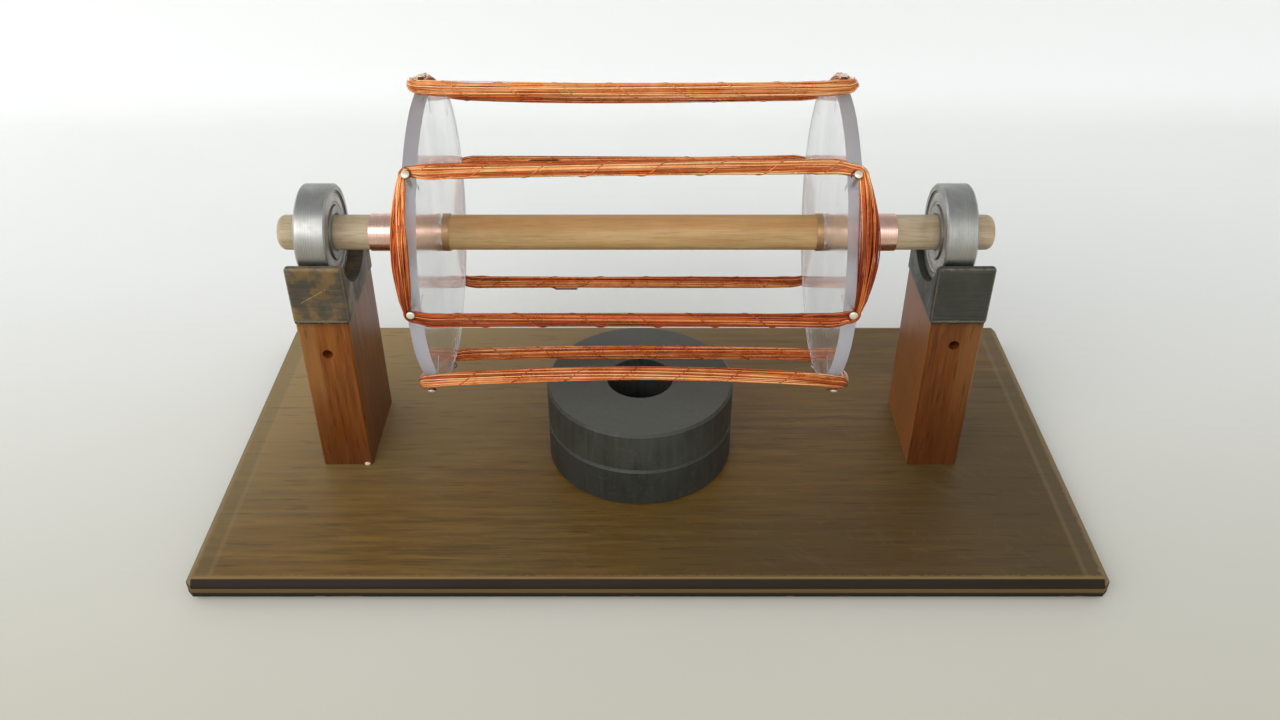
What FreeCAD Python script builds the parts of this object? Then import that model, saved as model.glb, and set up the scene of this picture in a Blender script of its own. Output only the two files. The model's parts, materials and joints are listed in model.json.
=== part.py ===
"""A demonstration electric motor: four wound coils on two clear discs, turning above ring magnets.

Lengths are millimetres and angles are degrees. The origin is the middle of the base board's
underside. X runs along the axle, -Y faces the viewer and Z points up.
"""

import FreeCAD, Part
import math
import os
import Sketcher

os.makedirs("parts", exist_ok=True)
doc = FreeCAD.newDocument("DemonstrationMotor")

DRIVING_SIZES = [
    ("base_length", "204"),
    ("base_depth", "102"),
    ("base_thickness", "6"),
    ("base_edge_bevel", "1.4"),
    ("post_inset", "30"),
    ("post_left_offset", "1.7"),
    ("post_width", "12"),
    ("post_edge_bevel", "0.4"),
    ("post_back_offset", "1.5"),
    ("post_hole_diameter", "2.4"),
    ("post_hole_depth", "7"),
    ("left_hole_drop", "8.8"),
    ("right_hole_drop", "6.3"),
    ("cradle_overhang", "0.5"),
    ("cradle_floor", "4.9"),
    ("cradle_lip", "2"),
    ("cradle_top_drop", "2"),
    ("cradle_notch_ease", "1.1"),
    ("cradle_corner_round", "1"),
    ("bearing_film", "0.1"),
    ("bearing_inset", "0.6"),
    ("bearing_bore", "8"),
    ("bearing_outer_diameter", "22"),
    ("bearing_chamfer", "0.4"),
    ("ball_diameter_share", "0.567"),
    ("ball_play", "0.05"),
    ("ball_count", "7"),
    ("shoulder_height_share", "0.27"),
    ("shield_thickness", "0.35"),
    ("shield_recess", "0.35"),
    ("shield_seat_depth", "0.5"),
    ("shield_fit", "0.05"),
    ("shield_inner_gap", "0.2"),
    ("cage_wall", "0.6"),
    ("cage_rail", "0.45"),
    ("cage_ball_gap", "0.08"),
    ("cage_side_gap", "0.2855"),
    ("snug_gap", "0.02"),
    ("axle_left_offset", "2.6"),
    ("axle_stub", "6"),
    ("axle_end_round", "1.6"),
    ("sleeve_wall", "0.25"),
    ("sleeve_outboard_length", "13.4"),
    ("sleeve_inboard_length", "1.5"),
    ("bearing_standoff", "8.6"),
    ("disc_diameter", "66"),
    ("disc_thickness", "3"),
    ("disc_left_offset", "0.7"),
    ("coil_count", "4"),
    ("coil_loops", "6"),
    ("coil_half_angle", "26.2"),
    ("coil_seat", "0.3"),
    ("coil_bend_radius", "3"),
    ("coil_lead_offset", "16"),
    ("wire_diameter", "0.6"),
    ("wire_pitch", "1.2"),
    ("rotor_rest_angle", "24.2"),
    ("pin_diameter", "0.8"),
    ("pin_gap", "0.4"),
    ("pin_length", "8"),
    ("pin_head_diameter", "1.7"),
    ("pin_head_thickness", "0.45"),
    ("magnet_outer_diameter", "45"),
    ("magnet_hole_diameter", "16"),
    ("magnet_thickness", "10.5"),
    ("magnet_edge_bevel", "0.6"),
    ("magnet_front_offset", "4"),
    ("magnet_left_offset", "1.7"),
    ("air_gap", "0.7"),
    ("cut_overrun", "5"),
    ("measuring_step", "0.4"),
    ("small_round_sides", "8"),
    ("ball_sides", "12"),
]

sheet = doc.addObject("Spreadsheet::Sheet", "Dimensions")
for row, (alias, text) in enumerate(DRIVING_SIZES, start=1):
    sheet.set("A%d" % row, alias.replace("_", " "))
    sheet.set("B%d" % row, text)
    sheet.setAlias("B%d" % row, alias)
doc.recompute()


class Size:
    """A number together with the sheet expression that gives it."""

    def __init__(self, value, text):
        self.value = value
        self.text = text

    def __add__(self, other):
        other = as_size(other)
        return Size(self.value + other.value, "(%s + %s)" % (self.text, other.text))

    def __sub__(self, other):
        other = as_size(other)
        return Size(self.value - other.value, "(%s - %s)" % (self.text, other.text))

    def __mul__(self, other):
        other = as_size(other)
        return Size(self.value * other.value, "(%s * %s)" % (self.text, other.text))

    def __truediv__(self, other):
        other = as_size(other)
        return Size(self.value / other.value, "(%s / %s)" % (self.text, other.text))

    def __neg__(self):
        return Size(-self.value, "(-1 * %s)" % self.text)


def as_size(number):
    """A size as it is, or a plain factor as a size."""
    if isinstance(number, Size):
        return number
    return Size(float(number), repr(number))


class SheetSizes:
    """The driving sizes, read from the sheet by their aliases."""

    def __getattr__(self, alias):
        return Size(float(sheet.get(alias)), "Dimensions.%s" % alias)


def sine(angle):
    return Size(math.sin(math.radians(angle.value)), "sin(%s * 1 deg)" % angle.text)


def cosine(angle):
    return Size(math.cos(math.radians(angle.value)), "cos(%s * 1 deg)" % angle.text)


def arc_sine(ratio):
    return Size(math.degrees(math.asin(ratio.value)), "(asin(%s) / 1 deg)" % ratio.text)


ZERO = Size(0.0, "0")
given = SheetSizes()

# Bearing sizes: the balls run midway between bore and outside, in tracks of half an octagon. The
# bearing is as wide as the balls, the cage's rails and the shields need, which comes to 7

bearing_radius = given.bearing_outer_diameter / 2
ball_circle_radius = (given.bearing_bore + given.bearing_outer_diameter) / 4
ball_radius = (given.bearing_outer_diameter - given.bearing_bore) / 4 * given.ball_diameter_share
track_depth = ball_radius + given.ball_play
shoulder_reach = ball_radius - ball_radius * given.shoulder_height_share
track_floor_half = track_depth * math.tan(math.pi / 8)
track_mouth_half = track_depth * math.sqrt(2) - shoulder_reach
inner_shoulder_radius = ball_circle_radius - shoulder_reach
outer_shoulder_radius = ball_circle_radius + shoulder_reach
shield_seat_radius = outer_shoulder_radius + given.shield_seat_depth
shield_depth = given.shield_recess + given.shield_thickness + given.shield_fit
cage_window = ball_radius + given.cage_ball_gap
cage_half_width = cage_window + given.cage_rail
shield_back = cage_half_width + given.cage_side_gap
shield_front = shield_back + given.shield_thickness
bearing_half_width = shield_front + given.shield_recess

# Places along the axle, from its middle: post, bearing, the end of the copper sleeve, then the disc

post_middle = given.base_length / 2 - given.post_inset
bearing_middle = post_middle - given.bearing_inset
axle_half_length = bearing_middle + bearing_half_width + given.axle_stub
sleeve_end = bearing_middle - bearing_half_width - given.bearing_standoff
disc_outer_face = sleeve_end - given.sleeve_outboard_length
disc_middle = disc_outer_face - given.disc_thickness / 2
disc_inner_face = disc_outer_face - given.disc_thickness

# The axle lies a little left of the board's middle, and the discs a little further left on it

axle_x = -given.axle_left_offset
disc_x = axle_x - given.disc_left_offset

# Rotor sizes: the coils ride on the rims of the discs

axle_radius = given.bearing_bore / 2 - given.snug_gap
sleeve_outer_radius = axle_radius + given.snug_gap + given.sleeve_wall
disc_bore_radius = sleeve_outer_radius + given.snug_gap
disc_radius = given.disc_diameter / 2
bundle_radius = given.wire_pitch + given.wire_diameter / 2
coil_radius = disc_radius + given.coil_seat + bundle_radius
coil_outer_radius = coil_radius + bundle_radius
coil_half_length = disc_outer_face + given.coil_seat + bundle_radius

# Stand sizes: the coils pass just over the magnets, and the posts carry the bearings at that height

magnet_stack_top = given.base_thickness + given.magnet_thickness * 2
axis_height = magnet_stack_top + given.air_gap + coil_outer_radius
cradle_depth = given.bearing_outer_diameter + given.cradle_lip * 2
cradle_width = given.post_width + given.cradle_overhang * 2
cradle_bottom = axis_height - bearing_radius - given.bearing_film - given.cradle_floor
cradle_height = axis_height - given.cradle_top_drop - cradle_bottom
post_height = cradle_bottom - given.base_thickness
notch_radius = bearing_radius + given.cradle_notch_ease

# Angles about the axle, counted from straight up towards the viewer

front_coil_turn = Size(90.0, "90") - given.rotor_rest_angle
pin_reach = bundle_radius + given.pin_diameter / 2 + given.pin_gap
pin_half_angle = given.coil_half_angle - arc_sine(pin_reach / coil_radius)
pin_head_radius = coil_outer_radius + given.pin_gap / 2
pin_tip_radius = pin_head_radius - given.pin_length

UPRIGHT_SHARE = 0.999
SMALL_SIDES = int(given.small_round_sides.value)


def turned(angle):
    """A rotation about the axle."""
    return FreeCAD.Rotation(FreeCAD.Vector(1, 0, 0), angle)


def place(feature, x, y, z):
    """Put an object at a point whose coordinates follow the sheet."""
    feature.Placement = FreeCAD.Placement(FreeCAD.Vector(x.value, y.value, z.value), FreeCAD.Rotation())
    feature.setExpression(".Placement.Base.x", x.text)
    feature.setExpression(".Placement.Base.y", y.text)
    feature.setExpression(".Placement.Base.z", z.text)


def place_on_axle(feature, x):
    place(feature, x, given.post_back_offset, axis_height)


def new_body(label):
    body = doc.addObject("PartDesign::Body", label)
    body.Label = label
    return body


def origin_feature(body, role):
    return [feature for feature in body.Origin.OriginFeatures if feature.Role == role][0]


def new_sketch(body, name, plane):
    sketch = body.newObject("Sketcher::SketchObject", name)
    sketch.AttachmentSupport = (origin_feature(body, plane), [""])
    sketch.MapMode = "FlatFace"
    return sketch


def fix_coordinate(sketch, kind, geometry, vertex, size):
    """Hold one coordinate of a point at a size from the sketch's origin."""
    if size is ZERO:
        axis = -2 if kind == "DistanceX" else -1
        sketch.addConstraint(Sketcher.Constraint("PointOnObject", geometry, vertex, axis))
    elif size.value < 0:
        index = sketch.addConstraint(Sketcher.Constraint(kind, geometry, vertex, -1, 1, -size.value))
        sketch.setExpression("Constraints[%d]" % index, (-size).text)
    else:
        index = sketch.addConstraint(Sketcher.Constraint(kind, -1, 1, geometry, vertex, size.value))
        sketch.setExpression("Constraints[%d]" % index, size.text)


def draw_outline(sketch, points):
    """Draw a closed outline of straight lines through points given as pairs of sizes."""
    vectors = [FreeCAD.Vector(x.value, y.value, 0) for x, y in points]
    count = len(points)
    for index in range(count):
        sketch.addGeometry(Part.LineSegment(vectors[index], vectors[(index + 1) % count]), False)
    for index in range(count):
        sketch.addConstraint(Sketcher.Constraint("Coincident", index, 2, (index + 1) % count, 1))
    for index, (x, y) in enumerate(points):
        fix_coordinate(sketch, "DistanceX", index, 1, x)
        fix_coordinate(sketch, "DistanceY", index, 1, y)


def draw_rectangle(sketch, half_x, half_y):
    draw_outline(sketch, [(-half_x, -half_y), (half_x, -half_y), (half_x, half_y), (-half_x, half_y)])


def draw_circle(sketch, y, radius):
    """Draw a circle whose centre lies on the sketch's upright axis."""
    centre = FreeCAD.Vector(0, y.value, 0)
    circle = Part.Circle(centre, FreeCAD.Vector(0, 0, 1), radius.value)
    geometry = sketch.addGeometry(circle, False)
    fix_coordinate(sketch, "DistanceX", geometry, 3, ZERO)
    fix_coordinate(sketch, "DistanceY", geometry, 3, y)
    index = sketch.addConstraint(Sketcher.Constraint("Radius", geometry, radius.value))
    sketch.setExpression("Constraints[%d]" % index, radius.text)


def draw_small_round(sketch, clear_radius):
    """Draw a polygon about the origin whose sides touch a circle of the clear radius."""
    corner_radius = clear_radius / math.cos(math.pi / SMALL_SIDES)
    angles = [math.pi * (2 * number + 1) / SMALL_SIDES for number in range(SMALL_SIDES)]
    draw_outline(sketch, [(corner_radius * math.cos(a), corner_radius * math.sin(a)) for a in angles])


def add_pad(body, sketch, length):
    pad = body.newObject("PartDesign::Pad", sketch.Name + "_pad")
    pad.Profile = sketch
    pad.Length = length.value
    pad.setExpression("Length", length.text)
    doc.recompute()
    return pad


def add_revolution(body, sketch, axis):
    revolution = body.newObject("PartDesign::Revolution", sketch.Name + "_turned")
    revolution.Profile = sketch
    revolution.ReferenceAxis = (sketch, [axis])
    revolution.Angle = 360
    doc.recompute()
    return revolution


def add_pocket(body, sketch, length, midplane=False, along_normal=False):
    """Cut a pocket and make sure that it took material away."""
    pocket = body.newObject("PartDesign::Pocket", sketch.Name + "_pocket")
    pocket.Profile = sketch
    pocket.Length = length.value
    pocket.setExpression("Length", length.text)
    pocket.Midplane = midplane
    pocket.Reversed = along_normal
    doc.recompute()
    if pocket.Shape.Volume >= pocket.BaseFeature.Shape.Volume:
        raise ValueError("%s cuts nothing" % pocket.Name)
    return pocket


def add_ring_pattern(body, feature, count):
    """Repeat a feature evenly about the axle's direction."""
    pattern = body.newObject("PartDesign::PolarPattern", feature.Name + "_ring")
    pattern.Originals = [feature]
    pattern.Axis = (origin_feature(body, "X_Axis"), [""])
    pattern.Angle = 360
    pattern.Occurrences = int(count.value)
    pattern.setExpression("Occurrences", count.text)
    body.Tip = pattern
    doc.recompute()


def add_edge_finish(body, kind, feature, test, size):
    """Chamfer or fillet those edges of a feature that pass a test."""
    names = ["Edge%d" % number for number, edge in enumerate(feature.Shape.Edges, start=1) if test(edge)]
    finish = body.newObject("PartDesign::" + kind, feature.Name + "_" + kind.lower())
    finish.Base = (feature, names)
    amount = "Size" if kind == "Chamfer" else "Radius"
    setattr(finish, amount, size.value)
    finish.setExpression(amount, size.text)
    body.Tip = finish
    doc.recompute()


def any_edge(edge):
    return True


def is_upright(edge):
    return abs(edge.tangentAt(edge.FirstParameter).z) > UPRIGHT_SHARE


def is_above_bottom(edge):
    """True for the edges of a block that stands on its sketch, apart from those it stands on."""
    return edge.CenterOfMass.z > 0


def flat_face(corners):
    """A flat face through corners, of which neighbours on the axis may coincide."""
    distinct = [corner for index, corner in enumerate(corners) if corner != corners[index - 1]]
    return Part.Face(Part.makePolygon(distinct + distinct[:1]))


def facet_turning(profile, sides):
    """A solid of flat faces from a profile of radii and rising heights."""
    rings = []
    for radius, height in profile:
        ring = []
        for number in range(sides):
            angle = 2 * math.pi * number / sides
            ring.append(FreeCAD.Vector(radius * math.cos(angle), radius * math.sin(angle), height))
        rings.append(ring)
    faces = []
    for low, high in zip(rings, rings[1:]):
        for number in range(sides):
            last = number - 1
            faces.append(flat_face([low[last], low[number], high[number], high[last]]))
    if profile[0][0] > 0:
        faces.append(flat_face(rings[0][::-1]))
    if profile[-1][0] > 0:
        faces.append(flat_face(rings[-1]))
    return Part.Solid(Part.Shell(faces))


def add_solid(label, shape, x, angle):
    """Add a sub-part whose shape is worked out directly, at a place on the axle and turned about it."""
    feature = doc.addObject("Part::Feature", label)
    feature.Label = label
    feature.Shape = shape
    centre = FreeCAD.Vector(x.value, given.post_back_offset.value, axis_height.value)
    feature.Placement = FreeCAD.Placement(centre, turned(angle))
    return feature


def make_base_board():
    body = new_body("base_board")
    sketch = new_sketch(body, "base_outline", "XY_Plane")
    draw_rectangle(sketch, given.base_length / 2, given.base_depth / 2)
    pad = add_pad(body, sketch, given.base_thickness)
    add_edge_finish(body, "Chamfer", pad, any_edge, given.base_edge_bevel)
    return body


def make_post(label, x, hole_drop):
    """An upright batten with a small blind hole in its front face."""
    body = new_body(label)
    sketch = new_sketch(body, label + "_outline", "XY_Plane")
    draw_rectangle(sketch, given.post_width / 2, cradle_depth / 2)
    pad = add_pad(body, sketch, post_height)
    add_edge_finish(body, "Chamfer", pad, is_upright, given.post_edge_bevel)
    hole = new_sketch(body, label + "_hole", "XZ_Plane")
    front = cradle_depth / 2
    hole.AttachmentOffset = FreeCAD.Placement(FreeCAD.Vector(0, 0, front.value), FreeCAD.Rotation())
    hole.setExpression(".AttachmentOffset.Base.z", front.text)
    draw_circle(hole, post_height - hole_drop, given.post_hole_diameter / 2)
    add_pocket(body, hole, given.post_hole_depth)
    place(body, x, given.post_back_offset, given.base_thickness)
    return body


def make_cradle(label, x):
    """A hardwood block with a round notch across it, in which the bearing lies."""
    body = new_body(label)
    sketch = new_sketch(body, label + "_outline", "XY_Plane")
    draw_rectangle(sketch, cradle_width / 2, cradle_depth / 2)
    pad = add_pad(body, sketch, cradle_height)
    add_edge_finish(body, "Fillet", pad, is_above_bottom, given.cradle_corner_round)
    notch = new_sketch(body, label + "_notch", "YZ_Plane")
    draw_circle(notch, given.cradle_floor + notch_radius, notch_radius)
    add_pocket(body, notch, cradle_width + given.cut_overrun * 2, midplane=True)
    place(body, x, given.post_back_offset, cradle_bottom)
    return body


def make_magnet(label, bottom):
    body = new_body(label)
    sketch = new_sketch(body, label + "_profile", "XZ_Plane")
    inner = given.magnet_hole_diameter / 2
    outer = given.magnet_outer_diameter / 2
    bevel = given.magnet_edge_bevel
    top = given.magnet_thickness
    points = [
        (inner, ZERO),
        (outer - bevel, ZERO),
        (outer, bevel),
        (outer, top - bevel),
        (outer - bevel, top),
        (inner, top),
    ]
    draw_outline(sketch, points)
    add_revolution(body, sketch, "V_Axis")
    place(body, -given.magnet_left_offset, -given.magnet_front_offset, bottom)
    return body


def make_outer_race(label, x):
    body = new_body(label)
    sketch = new_sketch(body, label + "_profile", "XZ_Plane")
    half = bearing_half_width
    step = half - shield_depth
    chamfer = given.bearing_chamfer
    points = [
        (chamfer - half, bearing_radius),
        (-half, bearing_radius - chamfer),
        (-half, shield_seat_radius),
        (-step, shield_seat_radius),
        (-step, outer_shoulder_radius),
        (-track_mouth_half, outer_shoulder_radius),
        (-track_floor_half, ball_circle_radius + track_depth),
        (track_floor_half, ball_circle_radius + track_depth),
        (track_mouth_half, outer_shoulder_radius),
        (step, outer_shoulder_radius),
        (step, shield_seat_radius),
        (half, shield_seat_radius),
        (half, bearing_radius - chamfer),
        (half - chamfer, bearing_radius),
    ]
    draw_outline(sketch, points)
    add_revolution(body, sketch, "H_Axis")
    place_on_axle(body, x)
    return body


def make_inner_race(label, x):
    body = new_body(label)
    sketch = new_sketch(body, label + "_profile", "XZ_Plane")
    half = bearing_half_width
    bore = given.bearing_bore / 2
    chamfer = given.bearing_chamfer
    points = [
        (-half, bore + chamfer),
        (chamfer - half, bore),
        (half - chamfer, bore),
        (half, bore + chamfer),
        (half, inner_shoulder_radius),
        (track_mouth_half, inner_shoulder_radius),
        (track_floor_half, ball_circle_radius - track_depth),
        (-track_floor_half, ball_circle_radius - track_depth),
        (-track_mouth_half, inner_shoulder_radius),
        (-half, inner_shoulder_radius),
    ]
    draw_outline(sketch, points)
    add_revolution(body, sketch, "H_Axis")
    place_on_axle(body, x)
    return body


def make_shield(label, x, facing):
    """A thin washer in the outer race's seat, clear of the inner race."""
    body = new_body(label)
    sketch = new_sketch(body, label + "_profile", "XZ_Plane")
    front = shield_front * facing
    back = shield_back * facing
    rim = shield_seat_radius - given.shield_fit
    hub = inner_shoulder_radius + given.shield_inner_gap
    points = [(back, hub), (front, hub), (front, rim), (back, rim)]
    draw_outline(sketch, points)
    add_revolution(body, sketch, "H_Axis")
    place_on_axle(body, x)
    return body


def make_cage(label, x):
    """A thin ring with a window for each ball."""
    body = new_body(label)
    sketch = new_sketch(body, label + "_profile", "XZ_Plane")
    half = cage_half_width
    inner = ball_circle_radius - given.cage_wall / 2
    outer = ball_circle_radius + given.cage_wall / 2
    draw_outline(sketch, [(-half, inner), (half, inner), (half, outer), (-half, outer)])
    add_revolution(body, sketch, "H_Axis")
    hole = new_sketch(body, label + "_window", "XY_Plane")
    draw_small_round(hole, cage_window)
    pocket = add_pocket(body, hole, bearing_radius, along_normal=True)
    add_ring_pattern(body, pocket, given.ball_count)
    place_on_axle(body, x)
    return body


def make_balls(label, x):
    """The balls of one bearing, with flat facets because the shields hide them."""
    sides = int(given.ball_sides.value)
    radius = ball_radius.value
    profile = [(0, -radius)]
    for number in range(1, sides // 2):
        angle = 2 * math.pi * number / sides
        profile.append((radius * math.sin(angle), -radius * math.cos(angle)))
    profile.append((0, radius))
    balls = []
    for number in range(int(given.ball_count.value)):
        spin = turned(360 * number / given.ball_count.value)
        ball = facet_turning(profile, sides)
        middle = spin.multVec(FreeCAD.Vector(0, 0, ball_circle_radius.value))
        ball.Placement = FreeCAD.Placement(middle, spin)
        balls.append(ball)
    return add_solid(label, Part.makeCompound(balls), x, 0)


def make_axle():
    """A wooden dowel whose ends are rounded off in two slopes each."""
    body = new_body("axle_dowel")
    sketch = new_sketch(body, "axle_profile", "XZ_Plane")
    end = axle_half_length
    start = axle_half_length - given.axle_end_round
    slope = given.axle_end_round * (1 - math.sqrt(0.5))
    points = [
        (-end, ZERO),
        (end, ZERO),
        (end, axle_radius - given.axle_end_round),
        (end - slope, axle_radius - slope),
        (start, axle_radius),
        (-start, axle_radius),
        (slope - end, axle_radius - slope),
        (-end, axle_radius - given.axle_end_round),
    ]
    draw_outline(sketch, points)
    add_revolution(body, sketch, "H_Axis")
    place_on_axle(body, axle_x)
    return body


def make_sleeve(label, side):
    """A thin copper sleeve that carries the disc on the dowel."""
    body = new_body(label)
    sketch = new_sketch(body, label + "_profile", "XZ_Plane")
    start = (disc_inner_face - given.sleeve_inboard_length) * side
    end = sleeve_end * side
    inner = axle_radius + given.snug_gap
    outer = sleeve_outer_radius
    draw_outline(sketch, [(start, inner), (end, inner), (end, outer), (start, outer)])
    add_revolution(body, sketch, "H_Axis")
    place_on_axle(body, disc_x)
    return body


def make_disc(label, side):
    """A clear disc with a hole in its rim for each pin."""
    body = new_body(label)
    sketch = new_sketch(body, label + "_profile", "XZ_Plane")
    half = given.disc_thickness / 2
    bore = disc_bore_radius
    draw_outline(sketch, [(-half, bore), (half, bore), (half, disc_radius), (-half, disc_radius)])
    add_revolution(body, sketch, "H_Axis")
    leans = [("_upper", front_coil_turn - pin_half_angle), ("_lower", front_coil_turn + pin_half_angle)]
    for name, lean in leans:
        hole = new_sketch(body, label + name + "_hole", "XY_Plane")
        tip = turned(lean.value).multVec(FreeCAD.Vector(0, 0, pin_tip_radius.value))
        hole.AttachmentOffset = FreeCAD.Placement(tip, turned(lean.value))
        hole.setExpression(".AttachmentOffset.Base.y", (-pin_tip_radius * sine(lean)).text)
        hole.setExpression(".AttachmentOffset.Base.z", (pin_tip_radius * cosine(lean)).text)
        hole.setExpression(".AttachmentOffset.Rotation.Angle", lean.text)
        draw_small_round(hole, given.pin_diameter / 2)
        pocket = add_pocket(body, hole, given.pin_length, along_normal=True)
        add_ring_pattern(body, pocket, given.coil_count)
    place_on_axle(body, disc_x + disc_middle * side)
    return body


def coil_turn(number):
    """The angle about the axle of the middle of one coil."""
    return front_coil_turn.value + 360 * number / given.coil_count.value


def make_pins(label, side):
    """The pins in one disc's rim, two inside the corners of each coil."""
    shank = given.pin_diameter.value / 2
    head = given.pin_head_diameter.value / 2
    tip = pin_tip_radius.value
    seat = pin_head_radius.value
    top = seat + given.pin_head_thickness.value
    edge = (seat + top) / 2
    shank_profile = [(0, tip), (shank, tip + given.pin_diameter.value), (shank, edge)]
    head_profile = [(head, seat), (head, edge), ((shank + head) / 2, top)]
    middle = FreeCAD.Vector(disc_middle.value * side, 0, 0)
    pins = []
    for number in range(int(given.coil_count.value)):
        for lean in (-pin_half_angle.value, pin_half_angle.value):
            shank_solid = facet_turning(shank_profile, SMALL_SIDES)
            pin = shank_solid.fuse(facet_turning(head_profile, SMALL_SIDES))
            pin.Placement = FreeCAD.Placement(middle, turned(coil_turn(number) + lean))
            pins.append(pin)
    return add_solid(label, Part.makeCompound(pins), disc_x, 0)


class CoilPath:
    """One unbroken wire path round four corners, in a bundle of a middle wire and a ring of six.

    X runs along the axle, Y across the coil and Z away from the axle. A place in the bundle is a
    pair: how far the wire lies outside the bundle's middle line, and how far above it.
    """

    RING_PLACES = 6
    SIDES = 4

    def __init__(self):
        angle = math.radians(given.coil_half_angle.value)
        self.height = coil_radius.value * math.cos(angle)
        self.bend = given.coil_bend_radius.value
        self.corner_x = coil_half_length.value - self.bend
        self.corner_y = coil_radius.value * math.sin(angle) - self.bend
        self.edges = []
        self.samples = []
        self.end = None

    def ring_place(self, number):
        angle = math.radians(360 * number / self.RING_PLACES)
        pitch = given.wire_pitch.value
        return pitch * math.cos(angle), pitch * math.sin(angle)

    def corner_point(self, sign_x, sign_y, place, angle):
        """A point of the bend at one corner; the angle runs from the long side to the short one."""
        reach = self.bend + place[0]
        x = self.corner_x + reach * math.sin(math.radians(angle))
        y = self.corner_y + reach * math.cos(math.radians(angle))
        return FreeCAD.Vector(x * sign_x, y * sign_y, self.height + place[1])

    def add(self, edge):
        self.edges.append(edge)
        count = max(2, math.ceil(edge.Length / given.measuring_step.value))
        self.samples.extend(edge.discretize(count + 1))
        self.end = edge.lastVertex().Point

    def line_to(self, point):
        self.add(Part.makeLine(self.end, point))

    def bend_through(self, middle, end):
        self.add(Part.Arc(self.end, middle, end).toShape())

    def shift_arc(self, end):
        """The first of two equal arcs that cross to another place and start and end along X."""
        run = FreeCAD.Vector((end.x - self.end.x) / 2, 0, 0)
        drift = FreeCAD.Vector(0, (end.y - self.end.y) / 2, (end.z - self.end.z) / 2)
        turn = 2 * math.atan(drift.Length / run.Length)
        radius = run.Length / math.sin(turn)
        along = run / run.Length
        across = drift / drift.Length
        start = FreeCAD.Vector(self.end)

        def point(angle):
            return start + along * (radius * math.sin(angle)) + across * (radius * (1 - math.cos(angle)))

        def heading(angle):
            return along * math.cos(angle) + across * math.sin(angle)

        return point, heading, turn, radius

    def shift_to(self, end):
        """Cross to another place of the bundle along a long side."""
        point, heading, turn, radius = self.shift_arc(end)
        halfway = point(turn)
        self.bend_through(point(turn / 2), halfway)
        self.bend_through(end + self.edges[-1].firstVertex().Point - point(turn / 2), end)

    def stop_on_the_way_to(self, end, travel):
        """Set out as if to cross over, and end the wire with a straight piece after some travel."""
        point, heading, turn, radius = self.shift_arc(end)
        stop = math.asin(travel / radius)
        self.bend_through(point(stop / 2), point(stop))
        self.line_to(self.end + heading(stop) * given.wire_diameter.value)

    def round_corner(self, sign_x, sign_y, place, leaving_long_side):
        angles = (45, 90) if leaving_long_side else (45, 0)
        middle = self.corner_point(sign_x, sign_y, place, angles[0])
        self.bend_through(middle, self.corner_point(sign_x, sign_y, place, angles[1]))

    def go_round(self, first, second):
        """Go from the end of one long side to the start of it again, changing place half way."""
        self.round_corner(1, 1, first, True)
        self.line_to(self.corner_point(1, -1, first, 90))
        self.round_corner(1, -1, first, False)
        across = self.corner_point(-1, -1, second, 0)
        if first == second:
            self.line_to(across)
        else:
            self.shift_to(across)
        self.round_corner(-1, -1, second, True)
        self.line_to(self.corner_point(-1, 1, second, 90))
        self.round_corner(-1, 1, second, False)

    def wind(self, loops):
        """Wind the middle wire first, then each loop one place further round the ring."""
        lead = given.coil_lead_offset.value
        self.end = FreeCAD.Vector(-lead, self.corner_y + self.bend, self.height)
        self.line_to(self.corner_point(1, 1, (0, 0), 0))
        middle = (0.0, 0.0)
        self.go_round(middle, self.ring_place(1))
        for loop in range(1, loops):
            self.shift_to(self.corner_point(1, 1, self.ring_place(loop + 1), 0))
            self.go_round(self.ring_place(loop + 1), self.ring_place(loop + 1))
        last = self.corner_point(1, 1, self.ring_place(loops + 1), 0)
        self.stop_on_the_way_to(last, self.corner_x - lead - given.wire_diameter.value * 2)

    def least_gap(self):
        """The least clear distance between parts of the wire that aren't neighbours along it."""
        apart = int(self.bend * math.pi / given.measuring_step.value)
        cell = given.wire_pitch.value * 2
        grid = {}
        for index, point in enumerate(self.samples):
            key = (int(point.x // cell), int(point.y // cell), int(point.z // cell))
            grid.setdefault(key, []).append(index)
        least = cell
        near_cells = [(i, j, k) for i in (-1, 0, 1) for j in (-1, 0, 1) for k in (-1, 0, 1)]
        for (i, j, k), members in grid.items():
            others = []
            for di, dj, dk in near_cells:
                others.extend(grid.get((i + di, j + dj, k + dk), []))
            for index in members:
                point = self.samples[index]
                for other in others:
                    if other > index + apart and other + 1 < len(self.samples):
                        start = self.samples[other]
                        least = min(least, distance_to_piece(point, start, self.samples[other + 1]))
        return least - given.wire_diameter.value

    def tube(self):
        """The wire itself: a square section carried along the whole path."""
        start = self.edges[0].firstVertex().Point
        corners = []
        for number in range(self.SIDES + 1):
            angle = 2 * math.pi * (number % self.SIDES) / self.SIDES + math.pi / self.SIDES
            offset = FreeCAD.Vector(0, math.cos(angle), math.sin(angle))
            corners.append(start + offset * (given.wire_diameter.value / 2))
        section = Part.makePolygon(corners)
        return Part.Wire(self.edges).makePipeShell([section], True, False)

    def section_area(self):
        radius = given.wire_diameter.value / 2
        return self.SIDES / 2 * radius * radius * math.sin(2 * math.pi / self.SIDES)


def distance_to_piece(point, start, end):
    piece = end - start
    length = piece.Length
    if length == 0:
        return (point - start).Length
    share = min(max((point - start).dot(piece) / length / length, 0), 1)
    return (point - start - piece * share).Length


def make_coils():
    """Four equal coils, named by where they lie while the motor rests."""
    path = CoilPath()
    path.wind(int(given.coil_loops.value))
    print("least gap between the loops of a coil: %.3f mm" % path.least_gap())
    wire = path.tube()
    length = sum(edge.Length for edge in path.edges)
    print("coil volume %.2f, section times length %.2f" % (wire.Volume, path.section_area() * length))
    names = ["front_coil", "bottom_coil", "rear_coil", "top_coil"]
    return [add_solid(name, wire.copy(), disc_x, coil_turn(number)) for number, name in enumerate(names)]


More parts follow.
